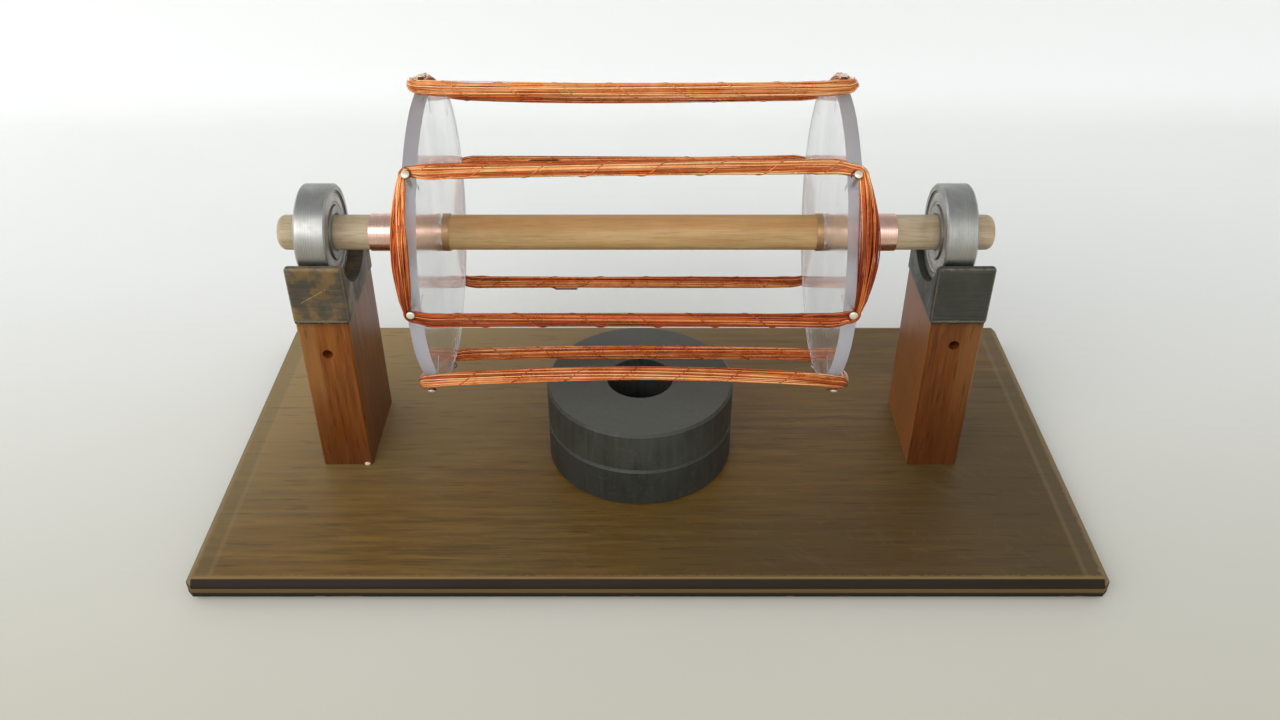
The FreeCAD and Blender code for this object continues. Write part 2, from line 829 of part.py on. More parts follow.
def make_bearing(hand, side):
    x = axle_x + bearing_middle * side
    return [
        make_outer_race(hand + "_bearing_outer_race", x),
        make_inner_race(hand + "_bearing_inner_race", x),
        make_balls(hand + "_bearing_balls", x),
        make_cage(hand + "_bearing_cage", x),
        make_shield(hand + "_bearing_inboard_shield", x, -side),
        make_shield(hand + "_bearing_outboard_shield", x, side),
    ]


sub_parts = [
    make_base_board(),
    make_magnet("lower_magnet", given.base_thickness),
    make_magnet("upper_magnet", given.base_thickness + given.magnet_thickness),
    make_axle(),
]
for hand, side, hole_drop in (("left", -1, given.left_hole_drop), ("right", 1, given.right_hole_drop)):
    post_x = post_middle * side - given.post_left_offset
    sub_parts.append(make_post(hand + "_post", post_x, hole_drop))
    sub_parts.append(make_cradle(hand + "_cradle_block", post_x))
    sub_parts.append(make_sleeve(hand + "_copper_sleeve", side))
    sub_parts.append(make_disc(hand + "_disc", side))
    sub_parts.append(make_pins(hand + "_disc_pins", side))
    sub_parts.extend(make_bearing(hand, side))
sub_parts.extend(make_coils())
doc.recompute()

for thing in doc.Objects:
    if "Invalid" in thing.State or "Error" in thing.State:
        raise ValueError("%s failed: %s" % (thing.Name, thing.State))
for part in sub_parts:
    if part.Shape.isNull() or not part.Shape.isValid():
        raise ValueError("%s has no valid shape" % part.Label)
for part in sub_parts:
    part.Shape.exportStep("parts/%s.step" % part.Label)
print("%d sub-parts written" % len(sub_parts))
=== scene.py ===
import json
import math
import random

import bmesh
import bpy
from mathutils import Matrix, Vector


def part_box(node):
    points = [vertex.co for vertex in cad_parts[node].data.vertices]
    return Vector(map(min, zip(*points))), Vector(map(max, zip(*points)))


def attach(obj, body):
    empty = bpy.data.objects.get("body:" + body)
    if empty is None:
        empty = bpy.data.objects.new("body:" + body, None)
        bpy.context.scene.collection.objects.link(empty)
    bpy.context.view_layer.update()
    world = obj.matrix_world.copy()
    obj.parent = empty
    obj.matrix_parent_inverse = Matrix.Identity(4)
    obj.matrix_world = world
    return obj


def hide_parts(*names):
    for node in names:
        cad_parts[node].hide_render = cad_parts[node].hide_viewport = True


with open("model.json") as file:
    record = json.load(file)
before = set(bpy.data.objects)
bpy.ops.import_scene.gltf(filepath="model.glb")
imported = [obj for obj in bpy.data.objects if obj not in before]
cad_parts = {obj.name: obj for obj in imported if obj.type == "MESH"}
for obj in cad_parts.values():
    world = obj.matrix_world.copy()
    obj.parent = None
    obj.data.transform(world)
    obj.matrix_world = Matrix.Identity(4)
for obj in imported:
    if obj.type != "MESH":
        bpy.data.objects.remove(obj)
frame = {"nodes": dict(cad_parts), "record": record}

MM = 0.001
nodes = frame["nodes"]
studio = bpy.context.scene
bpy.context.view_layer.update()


# Places read from the solids


def middle_of(node):
    low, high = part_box(node)
    return (Vector(low) + Vector(high)) / 2


axle_middle = middle_of("axle_dowel")
discs_middle = (middle_of("left_disc") + middle_of("right_disc")) / 2
posts_middle = (middle_of("left_post") + middle_of("right_post")) / 2
board_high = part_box("base_board")[1]


# Colours and finishes


def screen_colour(red, green, blue):
    """A colour given as a screen shows it, from 0 to 255, in the light values of the finishes."""
    levels = []
    for level in (red / 255, green / 255, blue / 255):
        levels.append(level / 12.92 if level <= 0.04045 else ((level + 0.055) / 1.055) ** 2.4)
    return (*levels, 1.0)


class Recipe:
    """The nodes of one finish or one effect, with short ways to add to them."""

    def __init__(self, tree):
        self.tree = tree

    def add(self, kind, feeds, **settings):
        """A new node whose inputs are given as values, or as the outputs that feed them."""
        made = self.tree.nodes.new(kind)
        for name, value in settings.items():
            setattr(made, name, value)
        for name, value in feeds.items():
            self.feed(made.inputs[name], value)
        return made

    def feed(self, socket, value):
        if isinstance(value, bpy.types.NodeSocket):
            self.tree.links.new(value, socket)
        else:
            socket.default_value = value

    def work_out(self, operation, *values, clamp=False):
        made = self.add("ShaderNodeMath", dict(enumerate(values)), operation=operation, use_clamp=clamp)
        return made.outputs[0]

    def times(self, first, second):
        return self.work_out("MULTIPLY", first, second)

    def plus(self, first, second, clamp=False):
        return self.work_out("ADD", first, second, clamp=clamp)

    def minus(self, first, second):
        return self.work_out("SUBTRACT", first, second)

    def size_of(self, value):
        return self.work_out("ABSOLUTE", value)

    def stretch(self, vector, scale=(1, 1, 1), move=(0, 0, 0), turn=(0, 0, 0)):
        feeds = {"Vector": vector, "Location": move, "Rotation": turn, "Scale": scale}
        return self.add("ShaderNodeMapping", feeds).outputs[0]

    def noise(self, vector, fineness, detail=3.0, roughness=0.55, drift=0.0):
        """Cloudy noise; fineness is how many clouds lie along a metre."""
        feeds = {"Vector": vector, "Scale": fineness, "Detail": detail, "Roughness": roughness}
        return self.add("ShaderNodeTexNoise", {**feeds, "Distortion": drift}).outputs[0]

    def parts(self, vector):
        return self.add("ShaderNodeSeparateXYZ", {0: vector}).outputs

    def join(self, x, y, z):
        return self.add("ShaderNodeCombineXYZ", {0: x, 1: y, 2: z}).outputs[0]

    def span(self, value, low, high, start=0.0, end=1.0):
        """Carries a value smoothly from one stretch of numbers to another, and holds it at the ends."""
        feeds = {"Value": value, "From Min": low, "From Max": high, "To Min": start, "To Max": end}
        return self.add("ShaderNodeMapRange", feeds, interpolation_type="SMOOTHSTEP").outputs[0]

    def mix(self, share, first, second, how="MIX"):
        """Two colours, or values as greys, mixed by a share of the second."""
        made = self.add("ShaderNodeMix", {0: share, 6: first, 7: second}, data_type="RGBA", blend_type=how)
        return made.outputs[2]

    def ramp(self, value, *stops):
        """A colour that passes through the stops, each a place from 0 to 1 and a colour."""
        made = self.add("ShaderNodeValToRGB", {0: value})
        points = made.color_ramp.elements
        while len(points) < len(stops):
            points.new(0.5)
        for point, (place, colour) in zip(points, stops):
            point.position = place
            point.color = colour
        return made.outputs[0]

    def effect(self, group, **feeds):
        made = self.tree.nodes.new("ShaderNodeGroup")
        made.node_tree = group
        for name, value in feeds.items():
            self.feed(made.inputs[name.replace("_", " ")], value)
        return made.outputs

    def bump(self, height, depth, strength=1.0):
        feeds = {"Height": height, "Distance": depth, "Strength": strength}
        return self.add("ShaderNodeBump", feeds).outputs[0]


def new_effect(name, takes, gives):
    """A node group with named inputs and outputs: its recipe, what it is given, and what it gives."""
    group = bpy.data.node_groups.new(name, "ShaderNodeTree")
    for label, usual in takes:
        kind = "NodeSocketVector" if usual is None else "NodeSocketFloat"
        socket = group.interface.new_socket(label, in_out="INPUT", socket_type=kind)
        if usual is not None:
            socket.default_value = usual
    for label in gives:
        group.interface.new_socket(label, in_out="OUTPUT", socket_type="NodeSocketFloat")
    entry = group.nodes.new("NodeGroupInput")
    exit_node = group.nodes.new("NodeGroupOutput")
    return group, Recipe(group), entry.outputs, exit_node.inputs


def make_wood_grain():
    """Grain along X: uneven streaks, fine fibres in them, and pores as short dark dashes."""
    takes = [("Vector", None), ("Streaks per metre", 300.0), ("Fibres per metre", 3000.0)]
    group, recipe, given, wanted = new_effect("wood grain", takes, ["Streaks", "Fibres", "Pores"])
    vector, fibres = given["Vector"], given["Fibres per metre"]
    bands = recipe.stretch(vector, scale=(0.07, 1, 1))
    streaks = recipe.noise(bands, given["Streaks per metre"], 4.0, 0.62, 0.2)
    recipe.feed(wanted["Streaks"], recipe.span(streaks, 0.3, 0.7))
    threads = recipe.stretch(vector, scale=(0.035, 1, 1))
    recipe.feed(wanted["Fibres"], recipe.noise(threads, fibres, 3.0, 0.6))
    dashes = recipe.stretch(vector, scale=(0.09, 1, 1), move=(0.3, 0.7, 0.1))
    spots = recipe.noise(dashes, recipe.times(fibres, 0.5), 1.0)
    recipe.feed(wanted["Pores"], recipe.span(spots, 0.6, 0.72))
    return group


def make_turned_lines():
    """Fine rings about the X axis, as a lathe or a grinding wheel leaves them."""
    takes = [("Vector", None), ("Lines per metre", 9000.0)]
    group, recipe, given, wanted = new_effect("turned lines", takes, ["Lines"])
    x, y, z = recipe.parts(given["Vector"])
    radius = recipe.work_out("SQRT", recipe.plus(recipe.times(y, y), recipe.times(z, z)))
    along = recipe.join(x, radius, recipe.times(y, 0.004))
    recipe.feed(wanted["Lines"], recipe.noise(along, given["Lines per metre"], 3.0, 0.6))
    return group


def make_smudges():
    """Cloudy patches, and specks among them."""
    takes = [("Vector", None), ("Patches per metre", 120.0)]
    group, recipe, given, wanted = new_effect("smudges", takes, ["Patches", "Specks"])
    clouds = recipe.noise(given["Vector"], given["Patches per metre"], 5.0, 0.6, 0.6)
    recipe.feed(wanted["Patches"], recipe.span(clouds, 0.36, 0.66))
    fine = recipe.noise(given["Vector"], recipe.times(given["Patches per metre"], 14.0), 2.0)
    recipe.feed(wanted["Specks"], recipe.span(fine, 0.68, 0.76))
    return group


def make_scratches():
    """Thin straight hairlines that run in two directions."""
    takes = [("Vector", None), ("Scratches per metre", 1500.0)]
    group, recipe, given, wanted = new_effect("scratches", takes, ["Scratches"])
    lines = []
    for turn in ((0.3, 0.5, 0.9), (1.1, -0.7, 0.2)):
        leaning = recipe.stretch(given["Vector"], turn=turn)
        drawn = recipe.stretch(leaning, scale=(0.02, 1, 1))
        streaks = recipe.noise(drawn, given["Scratches per metre"], 1.0)
        lines.append(recipe.span(streaks, 0.66, 0.72))
    recipe.feed(wanted["Scratches"], recipe.work_out("MAXIMUM", lines[0], lines[1]))
    return group


def make_edge_wear():
    """Where a block's edges are rubbed. Its middle is the vector's origin, and its half sizes are given."""
    takes = [("Vector", None), ("Half size", None), ("Width", 0.001)]
    group, recipe, given, wanted = new_effect("edge wear", takes, ["Wear"])
    from_middle = recipe.add("ShaderNodeVectorMath", {0: given["Vector"]}, operation="ABSOLUTE").outputs[0]
    feeds = {0: given["Half size"], 1: from_middle}
    inside = recipe.add("ShaderNodeVectorMath", feeds, operation="SUBTRACT").outputs[0]
    x, y, z = recipe.parts(inside)
    low = recipe.work_out("MINIMUM", x, y)
    high = recipe.work_out("MAXIMUM", x, y)
    second = recipe.work_out("MAXIMUM", low, recipe.work_out("MINIMUM", high, z))
    ragged = recipe.noise(given["Vector"], 900.0, 4.0, 0.65)
    limit = recipe.times(given["Width"], recipe.times(ragged, 2.0))
    recipe.feed(wanted["Wear"], recipe.span(recipe.work_out("DIVIDE", second, limit), 1.0, 0.4))
    return group


wood_grain = make_wood_grain()
turned_lines = make_turned_lines()
smudges = make_smudges()
scratches = make_scratches()
edge_wear = make_edge_wear()


def new_finish(name, **constants):
    """A material: its recipe, its shader's inputs, and where on the object each point lies."""
    finish = bpy.data.materials.new(name)
    finish.use_nodes = True
    shader = finish.node_tree.nodes["Principled BSDF"]
    for socket, value in constants.items():
        shader.inputs[socket.replace("_", " ")].default_value = value
    recipe = Recipe(finish.node_tree)
    return finish, recipe, shader.inputs, recipe.add("ShaderNodeTexCoord", {}).outputs["Object"]


def wood_figure(recipe, grain, streak_share, *stops):
    """A wood colour that follows both the streaks and the fibres."""
    streaks = recipe.times(grain["Streaks"], streak_share)
    fibres = recipe.times(grain["Fibres"], 1 - streak_share)
    return recipe.ramp(recipe.plus(streaks, fibres), *stops)


def stained_plywood():
    """The board: brown stain over plywood, its plies at the sides, its top edge rubbed pale, with painted
    shade at the front right, a painted sheen at the back left and painted shade in the low plies.
    """
    constants = {"Coat_Weight": 0.1, "Coat_Roughness": 0.34, "Specular_IOR_Level": 0.3}
    finish, recipe, surface, place = new_finish("stained plywood", **constants)
    grain = recipe.effect(wood_grain, Vector=place, Streaks_per_metre=520.0, Fibres_per_metre=2000.0)
    broad = recipe.effect(smudges, Vector=recipe.stretch(place, scale=(0.4, 1, 1)), Patches_per_metre=42.0)
    soft = recipe.effect(smudges, Vector=place, Patches_per_metre=18.0)
    marks = recipe.effect(scratches, Vector=place, Scratches_per_metre=500.0)
    brown = wood_figure(
        recipe, grain, 0.35,
        (0.2, screen_colour(82, 58, 22)),
        (0.5, screen_colour(106, 79, 34)),
        (0.8, screen_colour(128, 98, 46)),
    )
    x, y, z = recipe.parts(place)
    golden = recipe.mix(recipe.times(broad["Patches"], 0.4), brown, screen_colour(122, 86, 26))
    olive = recipe.mix(recipe.times(soft["Patches"], 0.4), golden, screen_colour(94, 82, 50))
    # Painted shade: the board is made darker towards its front right, where less light falls.
    near_right = recipe.minus(x, recipe.times(y, 1.6))
    painted_shade_right = recipe.mix(recipe.span(near_right, 0.03, 0.12, 0.0, 0.6), olive, screen_colour(62, 48, 24))
    # Painted sheen: the board is made paler towards its back left, like the varnish reflecting the bright
    # room there.
    far_left = recipe.minus(recipe.times(y, 1.4), x)
    painted_sheen_back_left = recipe.mix(recipe.span(far_left, 0.0, 0.15, 0.0, 0.8), painted_shade_right, screen_colour(164, 138, 92))
    pored = recipe.mix(recipe.times(grain["Pores"], 0.3), painted_sheen_back_left, screen_colour(42, 29, 12))
    rubbed = recipe.mix(recipe.times(marks["Scratches"], 0.05), pored, screen_colour(146, 124, 88))
    half_board = recipe.effect(
        edge_wear,
        Vector=recipe.stretch(place, move=(0, 0, -board_high[2] / 2)),
        Half_size=tuple(value - 1.3 * MM for value in board_high[:2]) + (board_high[2] / 2,),
        Width=0.0009,
    )
    across = recipe.plus(recipe.size_of(x), recipe.times(broad["Specks"], -0.0006))
    band = recipe.mix(recipe.span(across, 0.0962, 0.0972, 0.0, 0.3), rubbed, screen_colour(98, 90, 64))
    near_line = recipe.span(recipe.size_of(recipe.minus(across, 0.0966)), 0.0009, 0.0001, 0.0, 0.16)
    lined = recipe.mix(near_line, band, screen_colour(160, 142, 104))
    top = recipe.mix(recipe.times(half_board["Wear"], 0.5), lined, screen_colour(150, 120, 78))
    # The plies at the sides. The lowest are painted near black, partly as dark plies and partly as painted
    # shade on the lower side faces.
    ply_layers_and_painted_shade = recipe.ramp(
        recipe.work_out("DIVIDE", z, board_high[2]),
        (0.0, screen_colour(20, 15, 8)),
        (0.4, screen_colour(28, 21, 10)),
        (0.45, screen_colour(110, 84, 46)),
        (0.6, screen_colour(120, 92, 52)),
        (0.65, screen_colour(30, 23, 11)),
        (0.94, screen_colour(40, 31, 16)),
        (0.975, screen_colour(150, 116, 70)),
    )
    chips = recipe.noise(recipe.stretch(place, scale=(0.4, 1, 1)), 420.0, 2.0)
    low_edge = recipe.span(z, 0.0018, 0.0012)
    chipped = recipe.times(recipe.span(chips, 0.62, 0.67), low_edge)
    chipped_layers_and_shade = recipe.mix(recipe.times(chipped, 0.8), ply_layers_and_painted_shade, screen_colour(172, 148, 112))
    end_bevel = recipe.times(recipe.span(across, 0.1004, 0.1008), recipe.span(z, 0.0044, 0.0047))
    sides = recipe.mix(end_bevel, chipped_layers_and_shade, screen_colour(140, 120, 82))
    mottled = recipe.mix(recipe.times(grain["Fibres"], 0.5), sides, screen_colour(30, 22, 11))
    shown = recipe.span(z, board_high[2] - 0.02 * MM, board_high[2] - 0.06 * MM)
    recipe.feed(surface["Base Color"], recipe.mix(shown, top, mottled))
    rough = recipe.plus(recipe.times(grain["Fibres"], 0.2), 0.38)
    rough_top = recipe.plus(rough, recipe.times(soft["Patches"], 0.1))
    recipe.feed(surface["Roughness"], recipe.plus(rough_top, recipe.times(shown, 0.42), clamp=True))
    height = recipe.minus(grain["Fibres"], recipe.times(grain["Pores"], 0.8))
    recipe.feed(surface["Normal"], recipe.bump(height, 0.05 * MM, 0.5))
    return finish


def red_hardwood():
    """The posts: reddish varnished battens, darker at the foot, with a paler stripe on the outer side; the
    right post is painted darker as shade and its inner face is painted lighter as light.
    """
    constants = {"Coat_Weight": 0.08, "Coat_Roughness": 0.3, "Specular_IOR_Level": 0.25}
    finish, recipe, surface, place = new_finish("red hardwood", **constants)
    x, y, z = recipe.parts(place)
    upright = recipe.join(z, x, y)
    grain = recipe.effect(wood_grain, Vector=upright, Streaks_per_metre=520.0, Fibres_per_metre=2800.0)
    soft = recipe.effect(smudges, Vector=place, Patches_per_metre=70.0)
    red = wood_figure(
        recipe, grain, 0.4,
        (0.2, screen_colour(98, 44, 10)),
        (0.5, screen_colour(128, 70, 20)),
        (0.8, screen_colour(150, 92, 36)),
    )
    outer = recipe.minus(recipe.size_of(recipe.minus(x, posts_middle.x)), 0.0742)
    wavering = recipe.plus(outer, recipe.times(recipe.noise(upright, 40.0, 2.0), 0.002))
    stripe = recipe.times(recipe.span(wavering, 0.0, 0.0016), recipe.span(z, 0.012, 0.034, 0.1, 0.55))
    striped = recipe.mix(stripe, red, screen_colour(158, 112, 62))
    low = recipe.span(z, 0.04, 0.008)
    deep = recipe.mix(recipe.times(low, 0.7), striped, screen_colour(84, 40, 12))
    # Painted shade: the right post is made darker, as the light falls from the left.
    painted_shade_right_post = recipe.mix(recipe.span(x, -0.01, 0.01, 0.0, 0.42), deep, screen_colour(70, 34, 8))
    # Painted light: the right post's inner face, which faces the light, is made a lighter orange.
    from_side = recipe.size_of(recipe.minus(x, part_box("right_post")[0][0]))
    on_side = recipe.span(from_side, 0.06 * MM, 0.02 * MM, 0.0, 0.6)
    painted_lit_face = recipe.mix(on_side, painted_shade_right_post, screen_colour(176, 108, 50))
    dirty = recipe.mix(recipe.times(soft["Patches"], 0.2), painted_lit_face, screen_colour(86, 58, 30))
    pored = recipe.mix(recipe.times(grain["Pores"], 0.4), dirty, screen_colour(48, 22, 8))
    joint = recipe.span(z, 0.0462, 0.0478, 0.0, 0.5)
    recipe.feed(surface["Base Color"], recipe.mix(joint, pored, screen_colour(60, 40, 20)))
    recipe.feed(surface["Roughness"], recipe.plus(recipe.times(grain["Fibres"], 0.2), 0.28))
    height = recipe.minus(grain["Fibres"], grain["Pores"])
    recipe.feed(surface["Normal"], recipe.bump(height, 0.04 * MM, 0.5))
    return finish


def dark_hardwood():
    """The notched blocks: slate brown with ochre stains on the left, charcoal with rubbed edges right."""
    finish, recipe, surface, place = new_finish("dark hardwood", Coat_Weight=0.08, Coat_Roughness=0.4)
    x, y, z = recipe.parts(place)
    grain = recipe.effect(wood_grain, Vector=place, Streaks_per_metre=500.0, Fibres_per_metre=2400.0)
    soft = recipe.effect(smudges, Vector=place, Patches_per_metre=150.0)
    left_brown = recipe.ramp(
        grain["Fibres"],
        (0.25, screen_colour(62, 56, 45)),
        (0.55, screen_colour(86, 77, 61)),
        (0.8, screen_colour(108, 97, 76)),
    )
    stains = recipe.noise(recipe.stretch(place, move=(0.0, 0.02, 0.011)), 210.0, 5.0, 0.62)
    stained = recipe.plus(stains, recipe.span(z, 0.057, 0.062, 0.0, 0.07))
    ochre = recipe.mix(recipe.span(stained, 0.46, 0.62, 0.0, 0.7), left_brown, screen_colour(138, 106, 50))
    charcoal = recipe.ramp(
        grain["Fibres"],
        (0.25, screen_colour(42, 43, 37)),
        (0.6, screen_colour(58, 60, 52)),
        (0.85, screen_colour(74, 74, 65)),
    )
    either = recipe.mix(recipe.span(x, -0.001, 0.001), ochre, charcoal)
    dark = recipe.mix(recipe.times(soft["Patches"], 0.4), either, screen_colour(38, 34, 28))
    x_inside = recipe.minus(recipe.size_of(recipe.minus(x, posts_middle.x)), 0.072)
    block = recipe.effect(
        edge_wear,
        Vector=recipe.join(x_inside, recipe.minus(y, 0.0015), recipe.minus(z, 0.055)),
        Half_size=(0.0065, 0.013, 0.007),
        Width=0.0006,
    )
    worn = recipe.mix(recipe.times(block["Wear"], 0.5), dark, screen_colour(136, 126, 106))
    along = recipe.times(recipe.plus(x, 0.0765), 0.6)
    rise = recipe.minus(along, recipe.minus(z, 0.0537))
    near_line = recipe.span(recipe.size_of(rise), 0.0002, 0.00005)
    on_stretch = recipe.times(recipe.span(x, -0.0777, -0.0772), recipe.span(x, -0.0712, -0.0718))
    in_front = recipe.times(on_stretch, recipe.span(y, -0.0109, -0.0113))
    broken = recipe.span(recipe.noise(place, 1500.0, 2.0), 0.4, 0.55)
    scored = recipe.times(recipe.times(near_line, in_front), broken)
    recipe.feed(surface["Base Color"], recipe.mix(scored, worn, screen_colour(160, 130, 86)))
    recipe.feed(surface["Roughness"], recipe.plus(recipe.times(soft["Patches"], 0.2), 0.42))
    height = recipe.plus(grain["Fibres"], recipe.times(soft["Patches"], 0.8))
    recipe.feed(surface["Normal"], recipe.bump(height, 0.06 * MM, 0.6))
    return finish


def beech_dowel():
    """The axle: golden between the discs, greyer and smudged outside them, with its upper side darker as
    painted shade.
    """
    finish, recipe, surface, place = new_finish("beech dowel", Specular_IOR_Level=0.4)
    grain = recipe.effect(wood_grain, Vector=place, Streaks_per_metre=450.0, Fibres_per_metre=3600.0)
    soft = recipe.effect(smudges, Vector=place, Patches_per_metre=110.0)
    golden = wood_figure(
        recipe, grain, 0.35,
        (0.2, screen_colour(176, 134, 82)),
        (0.5, screen_colour(198, 162, 110)),
        (0.8, screen_colour(212, 182, 134)),
    )
    grey = wood_figure(
        recipe, grain, 0.35,
        (0.2, screen_colour(168, 148, 116)),
        (0.5, screen_colour(196, 176, 144)),
        (0.8, screen_colour(212, 196, 168)),
    )
    x, y, z = recipe.parts(place)
    far = recipe.size_of(recipe.minus(x, discs_middle.x))
    # Painted shade: the dowel's upper side is made darker and more amber.
    upper = recipe.span(z, axle_middle.z + 0.8 * MM, axle_middle.z + 3.2 * MM, 0.0, 0.45)
    painted_shade_top = recipe.mix(upper, golden, screen_colour(190, 130, 66))
    either = recipe.mix(recipe.span(far, 0.046, 0.05), painted_shade_top, grey)
    near_bearing = recipe.span(far, 0.06, 0.066)
    grime = recipe.times(soft["Patches"], recipe.plus(recipe.times(near_bearing, 0.2), 0.12))
    dirty = recipe.mix(grime, either, screen_colour(112, 94, 68))
    pored = recipe.mix(recipe.times(grain["Pores"], 0.25), dirty, screen_colour(126, 92, 54))
    recipe.feed(surface["Base Color"], pored)
    recipe.feed(surface["Roughness"], recipe.plus(recipe.times(grain["Fibres"], 0.25), 0.36))
    recipe.feed(surface["Normal"], recipe.bump(grain["Fibres"], 0.03 * MM, 0.5))
    return finish


def bare_metal(name, dark, light, lines, rough, dirt, spread, metallic=1.0, dull_within=0.0):
    """A turned metal: rings about the axle, faint hairlines, a bloom of dirt and a dull inner end."""
    finish, recipe, surface, place = new_finish(name, Metallic=metallic)
    centred = recipe.stretch(place, move=tuple(-axle_middle))
    rings = recipe.effect(turned_lines, Vector=centred, Lines_per_metre=lines)
    soft = recipe.effect(smudges, Vector=place, Patches_per_metre=spread)
    marks = recipe.effect(scratches, Vector=place, Scratches_per_metre=1800.0)
    metal = recipe.ramp(rings["Lines"], (0.3, screen_colour(*dark)), (0.7, screen_colour(*light)))
    soiled = recipe.mix(recipe.times(soft["Patches"], 0.22), metal, screen_colour(*dirt))
    marked = recipe.mix(recipe.times(marks["Scratches"], 0.25), soiled, screen_colour(*light))
    from_middle = recipe.size_of(recipe.minus(recipe.parts(place)[0], discs_middle.x))
    dull = recipe.span(from_middle, dull_within + 0.0002, dull_within, 0.0, 0.75)
    recipe.feed(surface["Base Color"], recipe.mix(dull, marked, screen_colour(182, 146, 90)))
    bloom = recipe.plus(recipe.times(soft["Patches"], 0.14), rough)
    bloom = recipe.plus(bloom, recipe.times(dull, 0.3))
    recipe.feed(surface["Roughness"], recipe.plus(recipe.times(rings["Lines"], 0.1), bloom))
    height = recipe.plus(rings["Lines"], recipe.times(marks["Scratches"], -0.4))
    recipe.feed(surface["Normal"], recipe.bump(height, 0.004 * MM, 0.25))
    return finish


def clear_acrylic():
    """The discs: clear plastic with a faint haze, a sawn rim that scatters light, and a faint lavender tint
    on the rim as painted reflection.
    """
    constants = {"Transmission_Weight": 0.92, "IOR": 1.36}
    finish, recipe, surface, place = new_finish("clear acrylic", **constants)
    x, y, z = recipe.parts(recipe.stretch(place, move=tuple(-axle_middle)))
    radius = recipe.work_out("SQRT", recipe.plus(recipe.times(y, y), recipe.times(z, z)))
    rim = recipe.span(radius, 0.0328, 0.03295)
    soft = recipe.effect(smudges, Vector=recipe.stretch(place, scale=(1, 1, 0.35)), Patches_per_metre=90.0)
    marks = recipe.effect(scratches, Vector=place, Scratches_per_metre=700.0)
    face = recipe.mix(soft["Patches"], screen_colour(254, 254, 255), screen_colour(249, 249, 251))
    # Painted reflection: the rim is tinted a faint lavender, as it looks when it reflects the room.
    recipe.feed(surface["Base Color"], recipe.mix(rim, face, screen_colour(244, 245, 254)))
    haze = recipe.times(soft["Patches"], 0.07)
    hairlines = recipe.times(marks["Scratches"], 0.03)
    smooth_face = recipe.plus(recipe.plus(haze, hairlines), 0.04)
    saw_marks = recipe.noise(recipe.stretch(place, scale=(1, 0.1, 0.1)), 6000.0, 2.0)
    rough_rim = recipe.plus(recipe.times(saw_marks, 0.2), 0.4)
    away = recipe.minus(1.0, rim)
    both = recipe.plus(recipe.times(rough_rim, rim), recipe.times(smooth_face, away))
    recipe.feed(surface["Roughness"], both)
    recipe.feed(surface["Normal"], recipe.bump(recipe.times(saw_marks, rim), 0.03 * MM, 0.5))
    return finish


def enamelled_copper():
    """The wire: each turn has its own random lightness, and each run and end turn is made lighter or darker
    as painted light and shade, under a thin glossy enamel.
    """
    constants = {"Metallic": 0.62, "Coat_Weight": 0.2, "Coat_Roughness": 0.3, "Coat_IOR": 1.5}
    finish, recipe, surface, place = new_finish("enamelled copper", **constants)
    tone = recipe.add("ShaderNodeAttribute", {}, attribute_name="strand_tone_with_painted_light").outputs["Fac"]
    soft = recipe.effect(smudges, Vector=place, Patches_per_metre=200.0)
    varied = recipe.plus(tone, recipe.times(soft["Patches"], 0.15))
    # The palest stops serve the runs that are made lighter as painted light.
    copper = recipe.ramp(
        varied,
        (0.0, screen_colour(126, 48, 10)),
        (0.25, screen_colour(164, 68, 16)),
        (0.5, screen_colour(200, 98, 34)),
        (0.75, screen_colour(238, 152, 86)),
        (1.0, screen_colour(255, 208, 146)),
    )
    recipe.feed(surface["Base Color"], copper)
    recipe.feed(surface["Roughness"], recipe.plus(recipe.times(soft["Patches"], 0.12), 0.24))
    return finish


def grey_ferrite():
    """The magnets: charcoal ceramic, lighter on faces that point up and painted darker below the top as
    shade, with chalky specks and a few rubs.
    """
    finish, recipe, surface, place = new_finish("grey ferrite", Specular_IOR_Level=0.32)
    soft = recipe.effect(smudges, Vector=place, Patches_per_metre=60.0)
    fine = recipe.effect(smudges, Vector=place, Patches_per_metre=420.0)
    marks = recipe.effect(scratches, Vector=place, Scratches_per_metre=700.0)
    x, y, z = recipe.parts(place)
    wall = recipe.noise(recipe.join(x, y, recipe.times(z, 0.12)), 900.0, 3.0)
    grey = recipe.ramp(wall, (0.3, screen_colour(44, 45, 40)), (0.7, screen_colour(62, 63, 57)))
    patched = recipe.mix(recipe.times(soft["Patches"], 0.4), grey, screen_colour(70, 71, 65))
    # Painted shade: the magnets are made darker below their top edge, as the light falls from above.
    painted_shade_below_top = recipe.mix(recipe.span(z, 0.0168, 0.0163, 0.0, 0.45), patched, screen_colour(38, 40, 35))
    # Faces that point up are made lighter.
    upward = recipe.add("ShaderNodeNewGeometry", {}).outputs["Normal"]
    facing_up = recipe.span(recipe.parts(upward)[2], 0.6, 0.95)
    lighter_facing_up = recipe.mix(recipe.times(facing_up, 0.4), painted_shade_below_top, screen_colour(112, 114, 107))
    specked = recipe.mix(recipe.times(fine["Specks"], 0.1), lighter_facing_up, screen_colour(150, 150, 140))
    rubbed = recipe.mix(recipe.times(marks["Scratches"], 0.05), specked, screen_colour(124, 126, 120))
    recipe.feed(surface["Base Color"], rubbed)
    recipe.feed(surface["Roughness"], recipe.plus(recipe.times(soft["Patches"], 0.15), 0.42))
    height = recipe.plus(wall, recipe.times(fine["Patches"], 0.6))
    recipe.feed(surface["Normal"], recipe.bump(height, 0.03 * MM, 0.6))
    return finish


